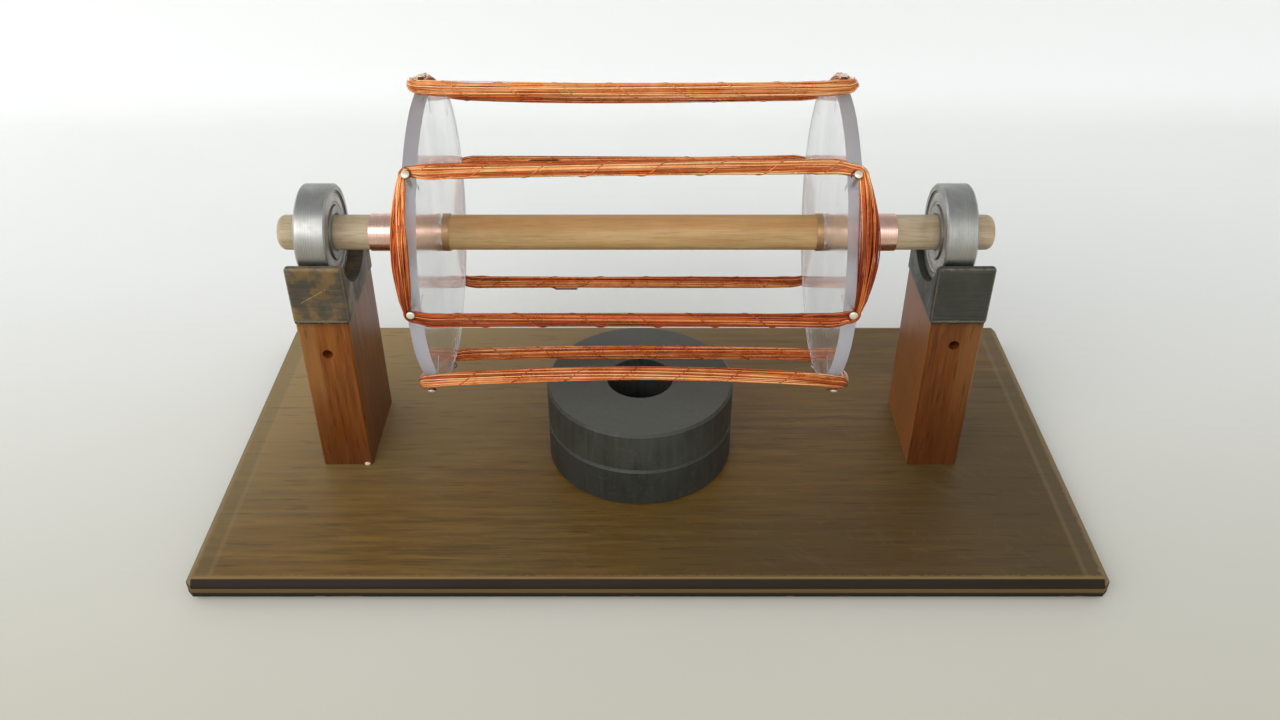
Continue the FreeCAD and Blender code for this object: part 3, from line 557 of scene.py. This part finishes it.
def dried_glue(name, pale, deep, rough):
    finish, recipe, surface, place = new_finish(name, Coat_Weight=0.4, Coat_Roughness=0.2)
    clouds = recipe.effect(smudges, Vector=place, Patches_per_metre=900.0)
    recipe.feed(surface["Base Color"], recipe.mix(clouds["Patches"], pale, deep))
    recipe.feed(surface["Roughness"], recipe.plus(recipe.times(clouds["Specks"], 0.2), rough))
    recipe.feed(surface["Normal"], recipe.bump(clouds["Patches"], 0.05 * MM, 0.5))
    return finish


METALS = {
    "copper_tube": dict(
        dark=(232, 180, 160), light=(252, 220, 206), lines=5200.0, rough=0.18,
        dirt=(132, 84, 66), spread=160.0, dull_within=0.0428,
    ),
    "pin_brass": dict(
        dark=(236, 226, 202), light=(252, 248, 236), lines=6000.0, rough=0.26,
        dirt=(190, 168, 120), spread=900.0, metallic=0.7,
    ),
    "bearing_steel": dict(
        dark=(156, 156, 150), light=(190, 190, 188), lines=5000.0, rough=0.3,
        dirt=(110, 108, 96), spread=140.0,
    ),
    "shield_steel": dict(
        dark=(168, 168, 162), light=(214, 214, 208), lines=6000.0, rough=0.34,
        dirt=(130, 126, 112), spread=300.0,
    ),
    "ball_steel": dict(
        dark=(206, 206, 208), light=(236, 236, 238), lines=3000.0, rough=0.08,
        dirt=(150, 150, 150), spread=500.0,
    ),
    "cage_steel": dict(
        dark=(160, 154, 140), light=(206, 200, 186), lines=4000.0, rough=0.34,
        dirt=(110, 100, 84), spread=400.0,
    ),
}
finishes = {slot: bare_metal(slot.replace("_", " "), **measures) for slot, measures in METALS.items()}
finishes["stained_plywood"] = stained_plywood()
finishes["red_hardwood"] = red_hardwood()
finishes["dark_hardwood"] = dark_hardwood()
finishes["beech_dowel"] = beech_dowel()
finishes["clear_acrylic"] = clear_acrylic()
finishes["enamelled_copper"] = enamelled_copper()
finishes["ferrite"] = grey_ferrite()
for entry in frame["record"]["subparts"]:
    for holder in nodes[entry["node"]].material_slots:
        holder.material = finishes[entry["material_slot"]]


# Pieces


def dress(mesh, name, body, slot, replaced=(), finish=None):
    """Turns a mesh into a piece that rides on a body, with the finish of its slot or one of its own."""
    mesh.shade_smooth()
    mesh.materials.clear()
    mesh.materials.append(finish or finishes[slot])
    piece = bpy.data.objects.new(name, mesh)
    studio.collection.objects.link(piece)
    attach(piece, body)
    if replaced:
        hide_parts(*replaced)


def finish_piece(shape, name, body, slot, replaced=(), finish=None):
    """Turns a finished bmesh into such a piece."""
    mesh = bpy.data.meshes.new(name)
    shape.to_mesh(mesh)
    shape.free()
    dress(mesh, name, body, slot, replaced, finish)


def turn_on_lathe(profile, steps):
    """A closed round shape about Z from pairs of radius and height, in millimetres."""
    shape = bmesh.new()
    points = [shape.verts.new((radius * MM, 0, height * MM)) for radius, height in profile]
    edges = [shape.edges.new(pair) for pair in zip(points, points[1:])]
    if profile[0][0] > 0 and profile[0] != profile[-1]:
        edges.append(shape.edges.new((points[-1], points[0])))
    bmesh.ops.spin(
        shape, geom=points + edges, cent=(0, 0, 0), axis=(0, 0, 1), angle=math.tau, steps=steps,
        use_merge=True,
    )
    bmesh.ops.remove_doubles(shape, verts=shape.verts, dist=0.0005 * MM)
    bmesh.ops.recalc_face_normals(shape, faces=shape.faces)
    return shape


def add_copies(shape, places):
    """One shape that holds a copy of the given one at each place."""
    pattern = bpy.data.meshes.new("pattern")
    shape.to_mesh(pattern)
    shape.free()
    many = bmesh.new()
    for place in places:
        known = len(many.verts)
        many.from_mesh(pattern)
        many.verts.ensure_lookup_table()
        bmesh.ops.transform(many, matrix=place, verts=many.verts[known:])
    bpy.data.meshes.remove(pattern)
    return many


ALONG_AXLE = Matrix.Rotation(math.pi / 2, 4, "Y")


# Rotor: dowel and pins

DOWEL_END_ROUND = 1.6


def turn_dowel():
    """The axle's rod, rounded at both ends."""
    low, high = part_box("axle_dowel")
    half = (high[0] - low[0]) / 2 / MM
    radius = (high[2] - low[2]) / 2 / MM
    corner = []
    for step in range(7):
        lean = math.radians(15 * step)
        away = radius - DOWEL_END_ROUND + DOWEL_END_ROUND * math.sin(lean)
        corner.append((away, DOWEL_END_ROUND * (1 - math.cos(lean))))
    profile = [(0, -half)] + [(away, depth - half) for away, depth in corner]
    profile += [(radius, share * half) for share in (-0.6, -0.2, 0.2, 0.6)]
    profile += [(away, half - depth) for away, depth in reversed(corner)] + [(0, half)]
    dowel = turn_on_lathe(profile, 64)
    bmesh.ops.transform(dowel, matrix=Matrix.Translation(axle_middle) @ ALONG_AXLE, verts=dowel.verts)
    finish_piece(dowel, "axle_dowel_turned", "rotor", "beech_dowel", ["axle_dowel"])


COIL_MIDDLES = {"front": 24.2, "top": 114.2, "rear": 204.2, "bottom": 294.2}
PIN_LEAN = 22.4
PIN_PROFILE = [
    (0, 28.5), (0.4, 29.4), (0.4, 36.42), (0.55, 36.5), (0.8, 36.55), (0.85, 36.66), (0.78, 36.78),
    (0.6, 36.87), (0.35, 36.93), (0, 36.95),
]


def turn_pins(hand):
    """The headed pins in one disc's rim, two inside each coil."""
    places = []
    for middle in COIL_MIDDLES.values():
        for lean in (-PIN_LEAN, PIN_LEAN):
            turn = Matrix.Rotation(math.radians(90 - middle - lean), 4, "X")
            places.append(Matrix.Translation((middle_of(hand + "_disc").x, *axle_middle.yz)) @ turn)
    pins = add_copies(turn_on_lathe(PIN_PROFILE, 16), places)
    finish_piece(pins, hand + "_round_headed_pins", "rotor", "pin_brass", [hand + "_disc_pins"])


turn_dowel()
for hand in ("left", "right"):
    turn_pins(hand)


# Rotor: the wound coils. A place on a coil is given in millimetres along the axle, from the discs'
# middle, then round the axle at the coil's middle radius, then away from the axle

WIRE_RADIUS = 0.135
TURNS = 92
FILLED = 0.96
GOLDEN_ANGLE = 2.39996
BINDING_TURNS = 7.2
RUN_STEPS = 24
END_STEPS = 13
CORNER_STEPS = 4
COIL_RADIUS = 34.85
PIN_X = 44.4
PIN_ROUND = COIL_RADIUS * math.radians(PIN_LEAN)
PIN_GAP = 0.35
TALL = 1.45
RIM_INSIDE = 42.9 - WIRE_RADIUS
RIM_OUTSIDE = 45.9 + WIRE_RADIUS
RIM_RADIUS = 33 + WIRE_RADIUS


def ease(share):
    share = min(max(share, 0.0), 1.0)
    return share * share * (3 - 2 * share)


def on_rotor(x, around, away, middle_angle):
    """The point in the scene for a place on the coil whose middle stands at an angle."""
    angle = math.radians(middle_angle) + around / COIL_RADIUS
    y = axle_middle.y / MM - away * math.cos(angle)
    z = axle_middle.z / MM + away * math.sin(angle)
    return Vector((discs_middle.x / MM + x, y, z)) * MM


class Station:
    """A place on a bundle's middle line, the way out from the coil, and the bundle's size there."""

    def __init__(self, x, around, away, out, wide, tall, tone, spread=0.0):
        self.x, self.around, self.away, self.out = x, around, away, out
        self.wide, self.tall, self.tone, self.spread = wide, tall, tone, spread


class Bundle:
    """The measures of one coil's bundle, in millimetres.

    thick, sags and tones are half the thickness, the sag and the painted light and shade of its two runs:
    how much lighter or darker each is made for how the light falls on it. reach is how far
    each run lies outside the pins at its left and right end. at_pins is half the thickness of the run and
    of the end turn at the left pins of the first and second run, then at the right ones. ends is how far
    the left and right end turns' inner and outer sides lie outside the pins, and end_painted_light how much
    lighter they are painted than the runs, as painted light and shade. tails_edge is the run on which the
    twisted wire ends lie.
    """

    def __init__(
        self, thick, sags, at_pins, ends, tones_with_painted_light,
        end_painted_light=(0, 0), reach=((2.3, 2.3), (2.3, 2.3)), tails_edge=1,
    ):
        self.thick = {1: thick[0], -1: thick[1]}
        self.sags = {1: sags[0], -1: sags[1]}
        self.at_pins = {(-1, 1): at_pins[0], (-1, -1): at_pins[1], (1, 1): at_pins[2], (1, -1): at_pins[3]}
        self.ends = {-1: ends[0], 1: ends[1]}
        self.tones_with_painted_light = {1: tones_with_painted_light[0], -1: tones_with_painted_light[1]}
        self.end_painted_light = {-1: end_painted_light[0], 1: end_painted_light[1]}
        self.reach = {1: reach[0], -1: reach[1]}
        self.tails_edge = tails_edge

    def on_run(self, x, edge):
        """A long run: it draws in at the pins, and hangs or bows a little in the middle."""
        at_pin = self.at_pins[-1 if x < 0 else 1, edge][0]
        full = ease((PIN_X - abs(x)) / 4.0)
        lift = COIL_RADIUS - self.sags[edge] * max(math.cos(math.pi * x / (2 * PIN_X)), 0.0) ** 0.8
        left, right = self.reach[edge]
        outside = left + (right - left) * (x / PIN_X + 1) / 2
        around = PIN_ROUND + PIN_GAP + at_pin + (outside - PIN_GAP - at_pin) * full
        wide = at_pin + (self.thick[edge] - at_pin) * full
        return Station(x, around * edge, lift, (0, edge), wide, TALL, self.tones_with_painted_light[edge])

    def on_corner(self, lean, side, edge):
        """The bend round a pin, where the wires stack up along its shank."""
        on_run, on_end = self.at_pins[side, edge]
        at_pin = on_run + (on_end - on_run) * lean / (math.pi / 2)
        out = (side * math.sin(lean), edge * math.cos(lean))
        x = side * PIN_X + out[0] * (PIN_GAP + at_pin)
        around = edge * PIN_ROUND + out[1] * (PIN_GAP + at_pin)
        return Station(x, around, COIL_RADIUS, out, at_pin, TALL - 0.1, self.tones_with_painted_light[edge])

    def on_end(self, share, side):
        """An end turn: the wires spread out flat over the disc's rim and past its face."""
        full = max(1 - (2 * share - 1) ** 2, 0.0) ** 0.75
        at_pin = self.at_pins[side, side][1] * (1 - share) + self.at_pins[side, -side][1] * share
        tone = self.tones_with_painted_light[side] * (1 - share) + self.tones_with_painted_light[-side] * share + self.end_painted_light[side] * full
        inner, outer = self.ends[side]
        x = side * (PIN_X + PIN_GAP + at_pin + ((inner + outer) / 2 - PIN_GAP - at_pin) * full)
        around = side * PIN_ROUND * (1 - 2 * share)
        wide = at_pin + ((outer - inner) / 2 - at_pin) * full
        away, tall = COIL_RADIUS - 0.4 * full, TALL - 0.1 - 0.35 * full
        return Station(x, around, away, (side, 0), wide, tall, tone, full)

    def loop(self):
        """One loop: a long run, a corner, an end turn and a corner, and the same again back."""
        stations = []
        bends = [math.pi / 2 * step / CORNER_STEPS for step in range(CORNER_STEPS)]
        for side in (1, -1):
            for step in range(RUN_STEPS):
                share = step / RUN_STEPS
                along = 2 * (share - 0.7 * math.sin(math.tau * share) / math.tau) - 1
                stations.append(self.on_run(PIN_X * along * side, side))
            stations += [self.on_corner(lean, side, side) for lean in bends]
            stations += [self.on_end(step / END_STEPS, side) for step in range(END_STEPS)]
            stations += [self.on_corner(math.pi / 2 - lean, side, -side) for lean in bends]
        return stations


def wire_point(station, aside, up, middle_angle):
    """The point of a wire that lies aside from and above the bundle's middle, as shares of its size."""
    x = station.x + station.out[0] * aside * station.wide
    around = station.around + station.out[1] * aside * station.wide
    away = station.away + up * station.tall
    away -= 2.3 * station.spread * ease((abs(x) - 45.6) / 1.6)
    beside_rim = max(RIM_INSIDE - abs(x), abs(x) - RIM_OUTSIDE, 0)
    away = max(away, RIM_RADIUS - 3 * beside_rim)
    return on_rotor(x, around, away, middle_angle)


def wind_coil(middle_angle, bundle, seed):
    """The wire of one coil, turn after turn, and the lightness of each of its points: each turn's own random
    lightness plus the painted light and shade of its run.
    """
    chance = random.Random(seed)
    places = []
    for turn in range(TURNS + 1):
        reach = math.sqrt((turn + 0.5) / (TURNS + 1)) * FILLED
        lean = turn * GOLDEN_ANGLE
        places.append((reach * math.cos(lean), reach * math.sin(lean), chance.uniform(0.15, 0.85)))
    chance.shuffle(places)
    stations = bundle.loop()
    points, tones_with_painted_light = [], []
    for turn in range(TURNS):
        here, after = places[turn], places[turn + 1]
        for number, station in enumerate(stations):
            share = number / len(stations)
            travelled = math.tau * (turn + share)
            change = ease((share - 0.84) / 0.16)
            loose = 1 + 0.5 * station.spread
            wander = 0.07 * math.sin(travelled * 2.317 + 1.3) + 0.05 * math.sin(travelled * 5.731)
            drift = 0.07 * math.sin(travelled * 3.163 + 4.0) + 0.05 * math.sin(travelled * 6.413 + 2)
            aside = here[0] + (after[0] - here[0]) * change + wander * loose
            up = here[1] + (after[1] - here[1]) * change + drift * loose
            twist = 0.7 * math.sin(math.tau * share + seed)
            turned_aside = aside * math.cos(twist) - up * math.sin(twist)
            turned_up = aside * math.sin(twist) + up * math.cos(twist)
            points.append(wire_point(station, turned_aside, turned_up, middle_angle))
            tones_with_painted_light.append(station.tone + here[2] + (after[2] - here[2]) * change)
    return points, tones_with_painted_light


def bind_run(bundle, edge, middle_angle, start):
    """A strand wound openly round one long run, from end to end."""
    points = []
    steps = 190
    for number in range(steps + 1):
        share = number / steps
        lean = start - share * BINDING_TURNS * math.tau
        station = bundle.on_run((2 * share - 1) * (PIN_X - 2.5), edge)
        points.append(wire_point(station, 0.99 * math.cos(lean), 0.99 * math.sin(lean), middle_angle))
    return points


def stray_strand(bundle, edge, start, stop, slack, middle_angle):
    """A strand that hangs a little away from a run's inner side."""
    points = []
    for number in range(25):
        share = number / 24
        station = bundle.on_run(start + (stop - start) * share, edge)
        station.around -= edge * slack * math.sin(math.pi * share)
        points.append(wire_point(station, -0.9, 0.3, middle_angle))
    return points


def twist_ends(bundle, start, stop, edge, middle_angle):
    """Two wire ends twisted together, lying on top of a run."""
    strands = []
    for phase in (0.0, math.pi):
        points = []
        for number in range(49):
            share = number / 48
            station = bundle.on_run(start + (stop - start) * share, edge)
            lift = 0.95 + 0.32 * ease(share * 5)
            turn = phase + share * 5.5 * math.tau
            aside = lift * math.cos(0.3) + 0.1 * math.cos(turn)
            up = lift * math.sin(0.3) + 0.1 * math.sin(turn)
            points.append(wire_point(station, aside, up, middle_angle))
        strands.append(points)
    return strands


def tie_to_pin(side, edge, middle_angle, chance):
    """A wire end that goes round a pin's shank and sticks out a little."""
    points = []
    start = chance.uniform(0, math.tau)
    for number in range(29):
        lean = start + number / 28 * 2.2 * math.tau
        reach = 0.57 + (0.9 * (number - 22) / 6 if number > 22 else 0.0)
        x = side * PIN_X + reach * math.cos(lean)
        around = edge * PIN_ROUND + reach * math.sin(lean)
        points.append(on_rotor(x, around, 35.75 + 0.02 * number, middle_angle))
    return points


def draw_wires(name, strands, radius, tones_with_painted_light):
    """Round wires through points as one mesh, with a lightness at each point that holds painted light and
    shade; the mesh has the end caps first.
    """
    curve = bpy.data.curves.new(name, "CURVE")
    curve.dimensions = "3D"
    curve.bevel_depth = radius
    curve.bevel_resolution = 1
    curve.use_fill_caps = True
    for points in strands:
        spline = curve.splines.new("POLY")
        spline.points.add(len(points) - 1)
        spline.points.foreach_set("co", [value for point in points for value in (*point, 1.0)])
        spline.use_smooth = True
    holder = bpy.data.objects.new(name, curve)
    mesh = bpy.data.meshes.new_from_object(holder)
    bpy.data.objects.remove(holder)
    bpy.data.curves.remove(curve)
    sides = len(mesh.vertices) // sum(len(points) for points in strands)
    tone = mesh.attributes.new("strand_tone_with_painted_light", "FLOAT", "POINT")
    values = [value for strand in tones_with_painted_light for value in strand for _ in range(sides)]
    on_caps = [0.5] * (len(mesh.vertices) - len(values))
    tone.data.foreach_set("value", on_caps + values)
    return mesh


# Painted light and shade: the top coil and the front coil's upper run are made lighter, and the front coil's
# lower run and ends are made darker.
BUNDLES = {
    "front": Bundle(
        thick=(1.45, 1.42), sags=(-0.1, 0.1), tones_with_painted_light=(0.17, -0.2), end_painted_light=(-0.08, -0.26),
        reach=((1.3, 2.4), (2.2, 2.3)),
        at_pins=((0.95, 0.72), (1.05, 0.66), (1.15, 1.1), (1.0, 0.66)), ends=((-0.1, 4.0), (0.6, 4.9)),
    ),
    "top": Bundle(
        thick=(1.4, 1.75), sags=(0.7, 0.5), tones_with_painted_light=(0.05, 0.24), end_painted_light=(-0.1, -0.1),
        at_pins=((1.2, 1.2), (1.55, 1.4), (1.2, 1.2), (1.55, 1.4)), ends=((0.2, 4.1), (0.5, 4.6)),
    ),
    "rear": Bundle(
        thick=(1.4, 1.4), sags=(0.5, 0.8), tones_with_painted_light=(-0.08, -0.08),
        at_pins=((1.3, 1.1), (1.3, 1.1), (1.3, 1.1), (1.3, 1.1)), ends=((0.1, 4.0), (0.4, 4.4)),
    ),
    "bottom": Bundle(
        thick=(1.62, 1.6), sags=(1.7, 0.9), tones_with_painted_light=(0.0, -0.02), tails_edge=-1,
        at_pins=((1.55, 1.3), (1.4, 1.2), (1.6, 1.4), (1.4, 1.2)), ends=((0.1, 4.2), (0.4, 4.8)),
    ),
}
chance = random.Random(7)
for number, (name, middle_angle) in enumerate(COIL_MIDDLES.items()):
    bundle = BUNDLES[name]
    points, tones_with_painted_light = wind_coil(middle_angle, bundle, number + 3)
    strands, strand_tones_with_painted_light = [points], [tones_with_painted_light]
    for edge in (1, -1):
        strands.append(bind_run(bundle, edge, middle_angle, chance.uniform(0, math.tau)))
        # The binding strands take on the painted light and shade of their run.
        strand_tones_with_painted_light.append([0.4 + bundle.tones_with_painted_light[edge]] * len(strands[-1]))
        for start, stop, slack in ((-43.6, -35.0, 0.55), (-43.4, -30.0, 0.35), (34.5, 43.5, 0.4)):
            strands.append(stray_strand(bundle, edge, start, stop, slack, middle_angle))
            strand_tones_with_painted_light.append([0.5 + bundle.tones_with_painted_light[edge]] * len(strands[-1]))
    ends = twist_ends(bundle, -21.0, -14.5, bundle.tails_edge, middle_angle)
    ends += [tie_to_pin(side, edge, middle_angle, chance) for side in (-1, 1) for edge in (-1, 1)]
    strands += ends
    strand_tones_with_painted_light += [[-0.1] * len(end) for end in ends]
    mesh = draw_wires(name + "_coil_winding", strands, WIRE_RADIUS * MM, strand_tones_with_painted_light)
    dress(mesh, name + "_coil_winding", "rotor", "enamelled_copper", [name + "_coil"])


# Bearings: shields and balls

SHIELD_PROFILE = [
    (9.4, 0.0), (9.4, 0.3), (9.32, 0.4), (9.18, 0.42), (9.06, 0.34), (9.0, 0.22), (8.9, 0.2), (8.76, 0.3),
    (8.6, 0.4), (8.3, 0.42), (7.3, 0.42), (7.05, 0.4), (6.88, 0.3), (6.76, 0.2), (6.6, 0.2), (6.45, 0.26),
    (6.3, 0.24), (6.25, 0.15), (6.25, 0.0), (9.4, 0.0),
]
BALL_COUNT = 7
BALL_RADIUS = 3.969 / 2
BALL_CIRCLE_RADIUS = 7.5


def press_shield(hand, side):
    """A pressed steel shield with stepped rings, its outer face away from the balls."""
    node = "%s_bearing_%s_shield" % (hand, side)
    facing = 1 if (hand == "right") == (side == "outboard") else -1
    low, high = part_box(node)
    back = low[0] if facing > 0 else high[0]
    shield = turn_on_lathe(SHIELD_PROFILE, 72)
    turn = Matrix.Rotation(facing * math.pi / 2, 4, "Y")
    place = Matrix.Translation((back, *axle_middle.yz)) @ turn
    bmesh.ops.transform(shield, matrix=place, verts=shield.verts)
    finish_piece(shield, "%s_%s_pressed_shield" % (hand, side), "stand", "shield_steel", [node])


def turn_balls(hand):
    """The true spheres of one bearing, evenly round its middle."""
    middle = Matrix.Translation(middle_of(hand + "_bearing_outer_race"))
    out = Matrix.Translation((0, 0, BALL_CIRCLE_RADIUS * MM))
    places = []
    for number in range(BALL_COUNT):
        places.append(middle @ Matrix.Rotation(math.tau * number / BALL_COUNT, 4, "X") @ out)
    ball = bmesh.new()
    bmesh.ops.create_uvsphere(ball, u_segments=24, v_segments=14, radius=BALL_RADIUS * MM)
    balls, body = add_copies(ball, places), hand + "_ball_set"
    finish_piece(balls, hand + "_polished_balls", body, "ball_steel", [hand + "_bearing_balls"])


for hand in ("left", "right"):
    for side in ("inboard", "outboard"):
        press_shield(hand, side)
    turn_balls(hand)


# Stand: glue


def press_seam(hand, seed):
    """The dark line of glue pressed out between a post and its block."""
    chance = random.Random(seed)
    low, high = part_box(hand + "_post")
    seam = bmesh.new()
    bmesh.ops.create_cube(seam, size=1)
    size = (high[0] - low[0] + 0.15 * MM, high[1] - low[1] + 0.15 * MM, 0.45 * MM)
    bmesh.ops.scale(seam, vec=size, verts=seam.verts)
    upright = [edge for edge in seam.edges if abs(edge.verts[0].co.z - edge.verts[1].co.z) > 0.1 * MM]
    level = [edge for edge in seam.edges if edge not in upright]
    bmesh.ops.subdivide_edges(seam, edges=level, cuts=15, use_grid_fill=True)
    for point in seam.verts:
        push = chance.uniform(0.97, 1.022)
        point.co.x *= push
        point.co.y *= 1 + (push - 1) * 0.5
    place = ((low[0] + high[0]) / 2, (low[1] + high[1]) / 2, high[2] - 0.1 * MM)
    bmesh.ops.translate(seam, vec=place, verts=seam.verts)
    bmesh.ops.recalc_face_normals(seam, faces=seam.faces)
    return seam


def drop_glue(finish):
    """A white drop at the left post's foot."""
    drop = bmesh.new()
    bmesh.ops.create_icosphere(drop, subdivisions=3, radius=0.62 * MM)
    bmesh.ops.scale(drop, vec=(1.25, 0.6, 0.8), verts=drop.verts)
    low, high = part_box("left_post")
    place = (high[0] - 1.3 * MM, low[1] - 0.1 * MM, board_high[2] + 0.35 * MM)
    bmesh.ops.translate(drop, vec=place, verts=drop.verts)
    finish_piece(drop, "left_post_glue_dot", "stand", None, finish=finish)


dark_glue = dried_glue("dark glue", screen_colour(48, 34, 18), screen_colour(26, 18, 10), 0.4)
for number, hand in enumerate(("left", "right")):
    finish_piece(press_seam(hand, number + 11), hand + "_glue_seam", "stand", None, finish=dark_glue)
drop_glue(dried_glue("white glue", screen_colour(226, 220, 200), screen_colour(196, 186, 160), 0.3))


# Studio: floor, wall, lamps and camera


def make_backdrop():
    """A pale floor that turns up into a wall behind the motor, the floor painted darker towards the front as
    shade; from behind, the wall is clear.
    """
    shape = bmesh.new()
    line = [(-1.2, 0.0), (0.205, 0.0)]
    for step in range(1, 7):
        lean = math.radians(90 * step / 6)
        line.append((0.205 + 0.02 * math.sin(lean), 0.02 * (1 - math.cos(lean))))
    line.append((0.225, 0.19))
    points = [shape.verts.new((-1.8, y, z)) for y, z in line]
    edges = [shape.edges.new(pair) for pair in zip(points, points[1:])]
    made = bmesh.ops.extrude_edge_only(shape, edges=edges)["geom"]
    far = [part for part in made if isinstance(part, bmesh.types.BMVert)]
    bmesh.ops.translate(shape, vec=(3.6, 0, 0), verts=far)
    bmesh.ops.recalc_face_normals(shape, faces=shape.faces)
    bmesh.ops.reverse_faces(shape, faces=shape.faces)
    mesh = bpy.data.meshes.new("backdrop")
    shape.to_mesh(mesh)
    shape.free()
    mesh.shade_smooth()
    finish, recipe, surface, place = new_finish("pale card")
    clouds = recipe.effect(smudges, Vector=place, Patches_per_metre=3.0)
    pale = recipe.mix(clouds["Patches"], screen_colour(246, 247, 245), screen_colour(250, 251, 250))
    x, y, z = recipe.parts(place)
    # Painted shade: the floor is made darker towards the front, as the light falls from behind.
    painted_shade_front = recipe.mix(recipe.span(y, 0.16, -0.22), pale, screen_colour(190, 185, 162))
    card = recipe.mix(recipe.span(z, 0.0, 0.012), painted_shade_front, screen_colour(250, 251, 251))
    recipe.feed(surface["Base Color"], card)
    camera_ray = recipe.add("ShaderNodeLightPath", {}).outputs["Is Camera Ray"]
    behind = recipe.add("ShaderNodeNewGeometry", {}).outputs["Backfacing"]
    recipe.feed(surface["Alpha"], recipe.minus(1.0, recipe.times(camera_ray, behind)))
    recipe.feed(surface["Roughness"], recipe.plus(recipe.times(clouds["Patches"], 0.1), 0.7))
    mesh.materials.append(finish)
    backdrop = bpy.data.objects.new("backdrop", mesh)
    studio.collection.objects.link(backdrop)


def hang_lamp(name, place, aim, size, power, colour):
    lamp = bpy.data.lights.new(name, "AREA")
    lamp.shape = "RECTANGLE"
    lamp.size, lamp.size_y = size
    lamp.energy = power
    lamp.color = colour
    holder = bpy.data.objects.new(name, lamp)
    holder.location = place
    holder.rotation_euler = (Vector(aim) - Vector(place)).to_track_quat("-Z", "Y").to_euler()
    holder.visible_camera = False
    studio.collection.objects.link(holder)


make_backdrop()
hang_lamp("window", (-0.3, -0.7, 0.64), (0, 0, 0.05), (1.2, 0.5), 4.8, (1.0, 0.99, 0.97))
hang_lamp("doorway", (-0.9, 0.25, 0.35), (0, 0, 0.05), (0.5, 0.5), 1.3, (0.97, 0.98, 1.0))
world = bpy.data.worlds.new("soft room light")
world.use_nodes = True
room = Recipe(world.node_tree)
height = room.parts(room.add("ShaderNodeTexCoord", {}).outputs["Generated"])[2]
room_light = room.ramp(
    height,
    (0.0, screen_colour(242, 243, 244)),
    (0.3, screen_colour(240, 241, 242)),
    (0.6, screen_colour(198, 200, 201)),
    (1.0, screen_colour(168, 170, 171)),
)
room.feed(world.node_tree.nodes["Background"].inputs["Color"], room_light)
studio.world = world

lens = bpy.data.cameras.new("camera")
lens.lens = 31.92
lens.sensor_width = 36
camera = bpy.data.objects.new("camera", lens)
camera.location = (-0.0017, -0.2261, 0.189)
camera.rotation_euler = (math.radians(90 - 35.2), 0, 0)
studio.collection.objects.link(camera)
studio.camera = camera
studio.view_settings.view_transform = "Standard"
